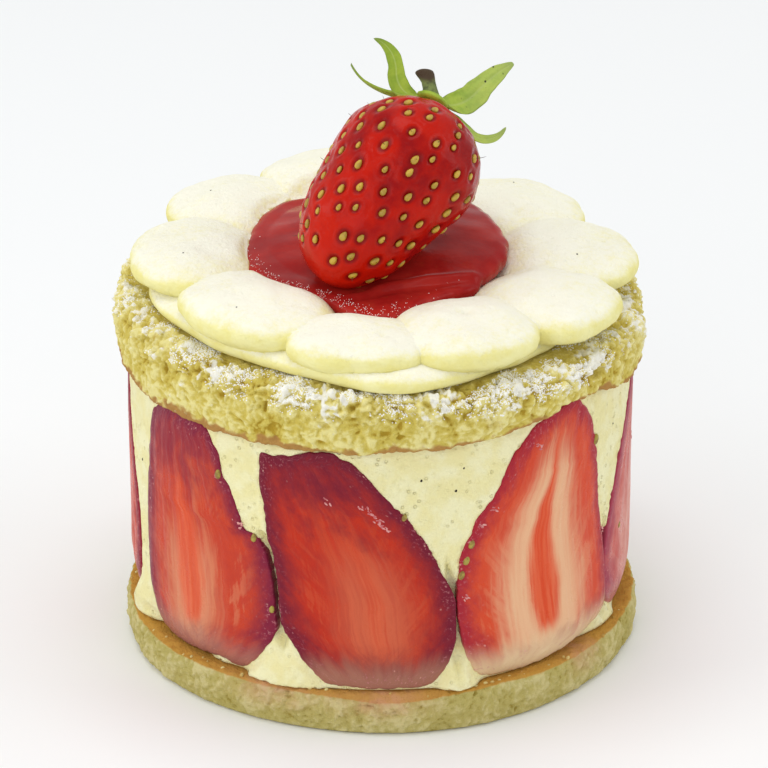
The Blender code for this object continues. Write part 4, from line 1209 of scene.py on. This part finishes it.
# Calyx
# The leaves and cut stalk of the strawberry, left on. The leaves are thin, pale green and pointed, bent in
# different ways, with a midrib, dark specks and browned tips.
LEAF_THICKNESS = 0.00038
CALYX_RADIUS = 0.0023
STALK_LENGTH = 0.0036
STALK_RADIUS = 0.00110
STALK_LEAN = Vector((-0.48, 0.1, 1.0)).normalized()
# share of the stalk's length and of its radius
STALK_PROFILE = (
    (0.0, 1.3), (0.15, 1.1), (0.4, 0.9), (0.66, 0.88), (0.8, 1.0), (0.9, 1.12), (0.98, 1.15), (1.0, 1.0),
)
# sepals: angle round the stalk, length, width, slopes at foot, middle and tip, roll of the leaf
SEPALS = (
    (151.0, 0.0155, 0.0020, -15.9, 9.6, 40.1, 0.0), (155.3, 0.0150, 0.0028, -19.6, 63.9, 5.3, -80.0),
    (40.5, 0.0150, 0.0042, 14.5, 72.1, 52.7, 66.0), (34.7, 0.0135, 0.0023, -3.7, -10.7, 89.0, 55.0),
    (64.0, 0.0094, 0.0030, 2.0, -20.0, -12.0, 0.0), (90.0, 0.0098, 0.0032, 4.0, -22.0, -16.0, 0.0),
    (118.0, 0.0090, 0.0028, 2.0, -18.0, -6.0, 0.0),
)
LEAF_STEPS = 44
LEAF_ACROSS = 13
leaf_finish, shader, place = new_finish("strawberry leaf", roughness=0.5, specular=0.15)
to_tip, from_foot, across = parts_of(tone_of(shader, "leaf"))
sideways = parts_of(place)[0]
green = mottled(place, 0.0022, 3.0, 0.35, 0.68, (0.36, 0.47, 0.05), (0.22, 0.35, 0.03))
green = mixed(graded(from_foot, 0.0, 0.5, 0.55, 0.0), green, (0.32, 0.40, 0.09))
green = mixed(graded(to_tip, 0.72, 1.0, 0.0, 0.75), green, (0.10, 0.17, 0.05))
green = mixed(graded(sideways, 0.008, 0.015, 0.0, 0.45), green, (0.52, 0.60, 0.17))
green = mixed(graded(sideways, 0.006, 0.001, 0.0, 0.5), green, (0.22, 0.29, 0.02))
green = mixed(graded(abs(across), 0.0, 0.16, 0.35, 0.0), green, (0.50, 0.58, 0.22))
spots = graded(grains_of(place, 0.0011), 0.10, 0.2, 1.0, 0.0) * graded(speckle(place, 0.003, 1.0), 0.5, 0.6)
green = mixed(spots, green, (0.035, 0.035, 0.015))
coloured(shader, green, speckle(place, 0.0005, 3.0), 0.0001)


def sepal(name, angle, length, width, foot, middle_slope, tip, roll):
    """One thin pointed leaf, closed, hollowed along its midrib, which bends on its way out."""
    frame = crown_frame @ Matrix.Rotation(math.radians(angle), 4, "Z")
    spine = [Vector((CALYX_RADIUS * 0.35, 0, LEAF_THICKNESS))]
    for i in range(LEAF_STEPS):
        way = (i + 0.5) / LEAF_STEPS
        low = foot + (middle_slope - foot) * 2 * way
        high = middle_slope + (tip - middle_slope) * (2 * way - 1)
        slope = math.radians(low if way < 0.5 else high)
        spine.append(spine[-1] + Vector((math.cos(slope), 0, math.sin(slope))) * length / LEAF_STEPS)
    across_shares = np.linspace(-1, 1, LEAF_ACROSS)
    rings, tones = [], []
    for i in range(1, LEAF_STEPS):
        way = i / LEAF_STEPS
        ahead = (spine[i + 1] - spine[i - 1]).normalized()
        rolled = Matrix.Rotation(math.radians(roll * min(1.0, way / 0.3)), 3, ahead)
        across = rolled @ Vector((0, 1, 0))
        out = rolled @ ahead.cross(Vector((0, 1, 0))).normalized()
        half = width / 2 * min(1.0, 0.7 + 0.9 * way) * (1 - way**2.2) ** 0.7
        half *= 1 + 0.035 * math.sin(23 * way + angle) + 0.02 * math.sin(41 * way)
        thick = LEAF_THICKNESS * (1 - 0.5 * way)
        centre = spine[i] + out * (0.07 * width * math.sin(5 * way + angle))
        ring, tone = [], []
        for side, shares in ((1, across_shares), (-1, across_shares[::-1][1:-1])):
            for share in shares:
                fold = 0.16 * half * abs(share) ** 1.3 - 0.05 * half * math.cos(9 * share)
                edge = thick * 0.5 * math.sqrt(max(0.0, 1 - share**2)) + 0.00003
                point = centre + across * (half * share) + out * (fold + side * edge)
                ring.append(frame @ point)
                tone.append((way, min(1.0, way * 2), share))
        rings.append(ring)
        tones.append(tone)
    ends = [frame @ spine[0], frame @ spine[-1]]
    return closed_skin(name, ends[0], np.array(rings), ends[1], leaf_finish, leaf=np.array(tones))


def turned_piece(name, rows, material, start, end, upright=Matrix.Identity(3), columns=28):
    """A turned shape in the frame of the crown, upright or leaning: rows of middle and radius."""
    steps = full_turn(columns)
    rings = []
    for middle, r in rows:
        ring = [upright @ Vector((r * math.cos(a), r * math.sin(a), 0)) for a in steps]
        rings.append([crown_frame @ (middle + point) for point in ring])
    rings = np.array(rings)
    tones = np.ones(rings.shape) * (0.3, 0.5, 1.0)
    return closed_skin(name, crown_frame @ start, rings, crown_frame @ end, material, leaf=tones)


up = Vector((0, 0, 1))
button_shape = ((0.8, 0.0), (0.98, 0.00025), (1.0, 0.0005), (0.8, 0.0009), (0.5, 0.0012))
button_rows = [(up * z, CALYX_RADIUS * r) for r, z in button_shape]
button = turned_piece("button", button_rows, leaf_finish, up * 0.0, up * 0.0013)
stalk_foot = up * 0.0005
stalk_rows = []
for way, r in STALK_PROFILE:
    hooked = Vector((-0.0003 - 0.0009 * way**3, 0, 0))
    stalk_rows.append((stalk_foot + STALK_LEAN * STALK_LENGTH * way + hooked, STALK_RADIUS * r))
stalk_top = (crown_frame @ (stalk_foot + STALK_LEAN * STALK_LENGTH)).z
stalk_finish, shader, place = new_finish("cut stalk", roughness=0.6, specular=0.3)
bark = mottled(place, 0.001, 3.0, 0.4, 0.65, (0.17, 0.21, 0.055), (0.08, 0.10, 0.03))
cut_end = graded(parts_of(place)[2], stalk_top - 0.0007, stalk_top + 0.0002)
coloured(shader, mixed(cut_end, bark, (0.06, 0.035, 0.015)), speckle(place, 0.0006, 3.0), 0.00015)
stalk_end = stalk_foot + STALK_LEAN * STALK_LENGTH * 1.01 + hooked
leaning = STALK_LEAN.to_track_quat("Z", "Y").to_matrix()
stalk = turned_piece("cut_stalk", stalk_rows, stalk_finish, stalk_foot, stalk_end, leaning)
leaves = [sepal(f"sepal_{i}", *row) for i, row in enumerate(SEPALS)]
combined(button, leaves, "UNION")
button.name = "calyx_leaves"
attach(button, "root")
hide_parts("calyx")
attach(stalk, "root")

# Icing sugar
# Dry icing sugar sifted over the finished cake. It clumps on the crumb of the rim and on the edge of the
# coulis, where it doesn't melt.
RIM_GRAINS = 2.4e7  # grains on a square metre
EDGE_GRAINS = 1.4e7
CLUMP_SIZE = 0.00030
POWDER_SIZE = 0.00016
sifted, (surface, grains, grain_size), made = node_group(
    "sifted sugar", (("Geometry", "Geometry"), ("Float", "Grains, Grain size")), (("Geometry", "Geometry"),),
    "GeometryNodeTree",
)
thickly = field(sifted, "dust", "FLOAT") * grains
spots = wired(sifted, "GeometryNodeDistributePointsOnFaces", Mesh=surface, Density=thickly, Seed=1)
ball = wired(sifted, "GeometryNodeMeshIcoSphere", Radius=0.5, Subdivisions=1)
sizes = wired(sifted, "FunctionNodeRandomValue", 1, {"data_type": "FLOAT"}, {2: 0.35, 3: 1.0})
ways = wired(sifted, "FunctionNodeRandomValue", 0, {"data_type": "FLOAT_VECTOR"}, {1: (TURN, TURN, TURN)})
sizes = sizes * grain_size
put = wired(sifted, "GeometryNodeInstanceOnPoints", Points=spots, Instance=ball, Rotation=ways, Scale=sizes)
plug(made["Geometry"], wired(sifted, "GeometryNodeRealizeInstances", Geometry=put))
sugar_finish, shader, place = new_finish("icing sugar", roughness=0.5, specular=0.5)
coloured(shader, mixed(speckle(place, 0.002, 2.0), (0.90, 0.89, 0.85), (0.97, 0.97, 0.95)))


def dusted(piece, dust_for):
    """A copy of a piece's mesh, with how thickly sugar lies on each point."""
    mesh = piece.data.copy()
    count = len(mesh.vertices)
    points = np.empty(count * 3)
    normals = np.empty(count * 3)
    mesh.vertices.foreach_get("co", points)
    mesh.vertex_normals.foreach_get("vector", normals)
    dust = np.clip(dust_for(points.reshape(-1, 3), normals.reshape(-1, 3)), 0, 1).astype(np.float32)
    mesh.attributes.new("dust", "FLOAT", "POINT").data.foreach_set("value", dust)
    return mesh


def rim_dust(points, normals):
    """Sugar on the rim of the upper sponge, thick at the front and in patches elsewhere."""
    angle = np.arctan2(points[:, 0], -points[:, 1])
    below = lid_face(points[:, 0], points[:, 1]) - points[:, 2]
    high = smooth_step(0.0040, 0.0008, below)
    high = high * smooth_step(0.0290, 0.0320, np.hypot(points[:, 0], points[:, 1]))
    patch = smooth_step(-0.1, 0.45, lumps(points, 0.0045, 5.0))
    thick = 0.35 + bump(angle, 5, 30) + bump(angle, 38, 16) + 0.6 * bump(angle, -45, 25)
    ahead = smooth_step(0.4, -0.7, points[:, 1] / LID_RADIUS)
    return high * patch * thick * smooth_step(-0.1, 0.75, normals[:, 2]) * ahead


def edge_dust(points, normals):
    """Sugar on the front edge of the coulis."""
    offset = points[:, :2] - np.array(COULIS_CENTRE)
    angle = np.arctan2(offset[:, 0], -offset[:, 1])
    edge = smooth_step(0.87, 0.95, np.hypot(offset[:, 0], offset[:, 1]) / pool_reach(angle))
    patch = smooth_step(-0.4, 0.3, lumps(points, 0.0012))
    return edge * smooth_step(0.1, 0.6, normals[:, 2]) * bump(angle, -28, 34) * patch


sugar = grown("icing_sugar", dusted(lid, rim_dust), sifted, sugar_finish, RIM_GRAINS, CLUMP_SIZE)
more = grown("more_sugar", dusted(coulis, edge_dust), sifted, sugar_finish, EDGE_GRAINS, POWDER_SIZE)
both = bmesh.new()
both.from_mesh(sugar.data)
both.from_mesh(more.data)
both.to_mesh(sugar.data)
both.free()
bpy.data.objects.remove(more, do_unlink=True)
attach(sugar, "root")

# Vanilla specks
# Seeds scraped out of the vanilla pod and stirred into the custard, so that they lie in the cream itself.
# They show as tiny black dots where they reach the surface of the filling and of the petals.
# on the filling: angle and height in millimetres; on the petals: x and y in millimetres
FILLING_SPECKS = (
    (18.6, 38.7), (16.8, 35.5), (66.0, 36.5), (9.0, 37.5), (-70.0, 30.0), (104.0, 22.0), (152.0, 30.0),
    (240.0, 26.0),
)
PETAL_SPECKS = (
    (-19.2, -22.7), (27.9, -24.7), (27.1, -2.6), (34.0, -4.4), (4.0, 27.0), (-24.0, 16.0), (19.0, 22.0),
    (-27.0, -6.0),
)


def landed(piece, starts, ways):
    """Where lines that start outside a piece meet it, without misses, and the ways that it faces there."""
    surface = BVHTree.FromObject(piece, bpy.context.evaluated_depsgraph_get())
    met = [surface.ray_cast(Vector(start), Vector(way)) for start, way in zip(starts, ways)]
    met = [hit for hit in met if hit[0] is not None]
    return np.array([hit[0] for hit in met]), np.array([hit[1] for hit in met])


def from_outside(piece, spots):
    """Places on the side of a piece, from rows of angle and height in millimetres."""
    angles, heights = np.array(spots).T * ((DEGREE,), (0.001,))
    starts = around(angles, 0.06, heights)
    return landed(piece, starts, around(angles, 0.06, 0 * heights) * -1)


def from_above(piece, spots):
    """Places on top of a piece, from rows of x and y in millimetres."""
    starts = np.c_[np.array(spots) * 0.001, np.full(len(spots), 0.1)]
    return landed(piece, starts, np.tile((0.0, 0.0, -1.0), (len(spots), 1)))


side_places, side_ways = from_outside(filling, FILLING_SPECKS)
top_places, top_ways = from_above(bed, PETAL_SPECKS)
speck_finish, shader, _ = new_finish("vanilla seed", roughness=0.5, specular=0.2)
coloured(shader, (0.02, 0.015, 0.01))
randomness = np.random.default_rng(8)
specks = laid_pieces(
    "vanilla_specks", np.vstack((side_places, top_places)), np.vstack((side_ways, top_ways)), speck_finish,
    randomness.uniform(0.6, 1.2, len(side_places) + len(top_places)), (0.00038, 0.00030, 0.00020),
)
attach(specks, "root")

# Seeds on the cut edges
# Where the knife passes through the skin of a halved strawberry, a few of its olive seeds stay on the edge of
# the face or slip a little way over it, held by the juice.
# angle and height in millimetres
EDGE_SEEDS = (
    (-38.4, 35.2), (-29.0, 27.2), (-24.7, 17.0), (20.4, 27.3), (18.1, 22.9), (19.2, 25.0), (56.4, 36.6),
    (5.2, 32.3), (70.0, 20.0), (112.0, 26.0), (148.0, 18.0), (196.0, 24.0), (238.0, 30.0), (-114.0, 20.0),
)
seed_angles, seed_heights = np.array(EDGE_SEEDS).T * ((DEGREE,), (0.001,))
starts = around(seed_angles, RING_RADIUS + 0.0002, seed_heights)
olive_finish, shader, place = new_finish("olive seeds", roughness=0.4, specular=0.3)
coloured(shader, mottled(place, 0.0008, 2.0, 0.4, 0.6, (0.40, 0.33, 0.06), (0.26, 0.17, 0.04)))
edge_seeds = laid_pieces(
    "edge_seeds", starts, around(seed_angles, 1.0, 0.0), olive_finish,
    randomness.uniform(0.7, 1.1, len(starts)), (0.00150, 0.00095, 0.00070),
)
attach(edge_seeds, "root")

# Smears of cream
# Thin ragged flakes of cream, pink with juice. They are wiped over the cut faces when the ring is lifted off,
# and dry on in slanting streaks.
# angle and height in millimetres, number of flakes, reach in millimetres
SMEARS = (
    (-11.5, 34.4, 5, 0.35), (-3.2, 33.7, 9, 0.5), (-2.2, 33.0, 9, 0.5), (-0.9, 32.2, 11, 0.55),
    (0.3, 31.3, 11, 0.5), (1.3, 30.7, 8, 0.4), (37.4, 39.6, 9, 0.45), (-38.4, 34.4, 6, 0.4),
    (-32.6, 28.6, 7, 0.5), (22.6, 29.8, 7, 0.5), (25.6, 32.0, 7, 0.5), (19.0, 19.5, 6, 0.5),
    (60.0, 22.0, 5, 0.4), (84.0, 30.0, 7, 0.5), (126.0, 28.0, 8, 0.5), (178.0, 22.0, 9, 0.6),
    (222.0, 32.0, 8, 0.5),
)
flakes = np.repeat(np.array(SMEARS), [row[2] for row in SMEARS], axis=0)
strewn = randomness.normal(0, 1, (len(flakes), 2)) * flakes[:, 3:] * 0.001 * (0.7, 0.5)
flake_angles = flakes[:, 0] * DEGREE + strewn[:, 0] / RING_RADIUS
flake_heights = flakes[:, 1] * 0.001 - 0.5 * strewn[:, 0] + strewn[:, 1]
flake_places = around(flake_angles, RING_RADIUS + 0.00030, flake_heights)
flake_ways = around(flake_angles, 1.0, 0.0)
flake_slants = np.array((0.8, 0.0, -0.5)) + randomness.normal(0, 0.4, (len(flakes), 3))
smear_finish, shader, place = new_finish("cream with juice", roughness=0.5, specular=0.12)
coloured(shader, mottled(place, 0.0006, 2.0, 0.4, 0.6, (0.72, 0.34, 0.32), (0.54, 0.15, 0.16)))
smears = laid_pieces(
    "cream_smears", flake_places, flake_ways, smear_finish, randomness.uniform(0.4, 1.2, len(flakes)),
    (0.00062, 0.00026, 0.00016), flake_slants,
)
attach(smears, "root")

# Dry hairs
# The withered styles of the whole strawberry: short, dark, papery hairs. One grows from each seed, and
# those that washing hasn't taken off still stand at some of the seeds.
HAIR_COUNT = 44
hairy = randomness.permutation(SEED_COUNT)[:HAIR_COUNT]
hair_slants = seed_ways[hairy] + randomness.normal(0, 0.35, (len(hairy), 3))
hair_slants /= np.linalg.norm(hair_slants, axis=1)[:, None]
hair_finish, shader, _ = new_finish("dry hairs", roughness=0.6, specular=0.2)
coloured(shader, (0.10, 0.045, 0.02))
hairs = laid_pieces(
    "dry_hairs", on_cake(seed_place[hairy]) + 0.00035 * hair_slants, seed_slants[hairy], hair_finish,
    randomness.uniform(0.6, 1.3, len(hairy)), (0.00130, 0.00007, 0.00007), hair_slants,
)
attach(hairs, "root")

# Loose crumbs
# Golden crumbs that broke from the torn sponge above as the cake was put together. They lie loose on the
# ledge of the lower sponge, mostly strewn, with a few together at the front.
STREWN_CRUMBS = 46
FRONT_CRUMBS = (30.0, 24.0, 25.5, 27.0, 60.0)  # angles
crumb_angles = np.concatenate((randomness.uniform(-180, 180, STREWN_CRUMBS), FRONT_CRUMBS))
crumb_reach = 1000 * BASE_RADIUS * randomness.uniform(0.962, 0.988, len(crumb_angles))
ledge_x, ledge_y, _ = around(crumb_angles * DEGREE, crumb_reach, 0.0).T
crumb_places, crumb_ways = from_above(base, np.c_[ledge_x, ledge_y])
crumb_finish, shader, place = new_finish("loose crumbs", roughness=0.9, specular=0.05)
golden = mottled(place, 0.003, 2.0, 0.4, 0.6, (0.74, 0.64, 0.28), (0.52, 0.30, 0.07))
coloured(shader, golden, speckle(place, 0.0003, 4.0), 0.0002)
crumbs = laid_pieces(
    "loose_crumbs", crumb_places, crumb_ways, crumb_finish, randomness.uniform(0.5, 1.3, len(crumb_places)),
    (0.00055, 0.00042, 0.00036),
)
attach(crumbs, "root")

# Studio
# A white sweep under a large soft light from above, with weaker soft lights at the sides and the front.
# The room round it is bright and white, which keeps the shadows pale.
FLOOR_REACH = 3.0
floor_mesh = bpy.data.meshes.new("white_sweep")
corners = [(FLOOR_REACH * x, FLOOR_REACH * y, 0) for x, y in ((-1, -1), (1, -1), (1, 1), (-1, 1))]
floor_mesh.from_pydata(corners, [], [(0, 1, 2, 3)])
white_sweep = bpy.data.objects.new("white_sweep", floor_mesh)
scene.collection.objects.link(white_sweep)
sweep_finish, shader, _ = new_finish("white sweep", roughness=0.8, specular=0.1)
coloured(shader, (0.90, 0.91, 0.91))
floor_mesh.materials.append(sweep_finish)
world = bpy.data.worlds.new("white room")
scene.world = world
world.use_nodes = True
background = world.node_tree.nodes["Background"]
background.inputs["Color"].default_value = (0.975, 0.985, 0.995, 1)
background.inputs["Strength"].default_value = 0.62


def soft_light(name, place, size, power):
    """A square soft light that looks at the cake."""
    light = bpy.data.lights.new(name, "AREA")
    light.size = size
    light.energy = power
    lamp = bpy.data.objects.new(name, light)
    scene.collection.objects.link(lamp)
    lamp.location = place
    lamp.rotation_euler = (Vector((0, 0, 0.04)) - Vector(place)).to_track_quat("-Z", "Y").to_euler()


soft_light("top light", (-0.05, 0.05, 0.95), 0.7, 2.9)
soft_light("left light", (-0.75, -0.15, 0.45), 0.5, 1.4)
soft_light("right light", (0.75, -0.05, 0.40), 0.5, 1.2)
soft_light("front light", (-0.35, -0.90, 0.45), 0.8, 2.1)

# Camera
# A camera with a long lens in front of the cake. It looks down on it, as in the photo, so that the petals and
# the pool show above the front of the rim.
SENSOR_WIDTH = 36.0
FOCAL_WIDTHS = 4459 / 768  # focal length in widths of the picture
CAMERA_ELEVATION = 24.39 * DEGREE
CAMERA_DISTANCE = 0.6252
CAMERA_TARGET = (0.00049, 0.0, 0.0360)
camera_data = bpy.data.cameras.new("camera")
camera_data.sensor_width = SENSOR_WIDTH
camera_data.lens = FOCAL_WIDTHS * SENSOR_WIDTH
camera_data.clip_start = 0.01
camera = bpy.data.objects.new("camera", camera_data)
scene.collection.objects.link(camera)
camera.location = (
    CAMERA_TARGET[0],
    -CAMERA_DISTANCE * math.cos(CAMERA_ELEVATION),
    CAMERA_TARGET[2] + CAMERA_DISTANCE * math.sin(CAMERA_ELEVATION),
)
camera.rotation_euler = (math.pi / 2 - CAMERA_ELEVATION, 0, 0)
scene.camera = camera
scene.view_settings.view_transform = "Standard"
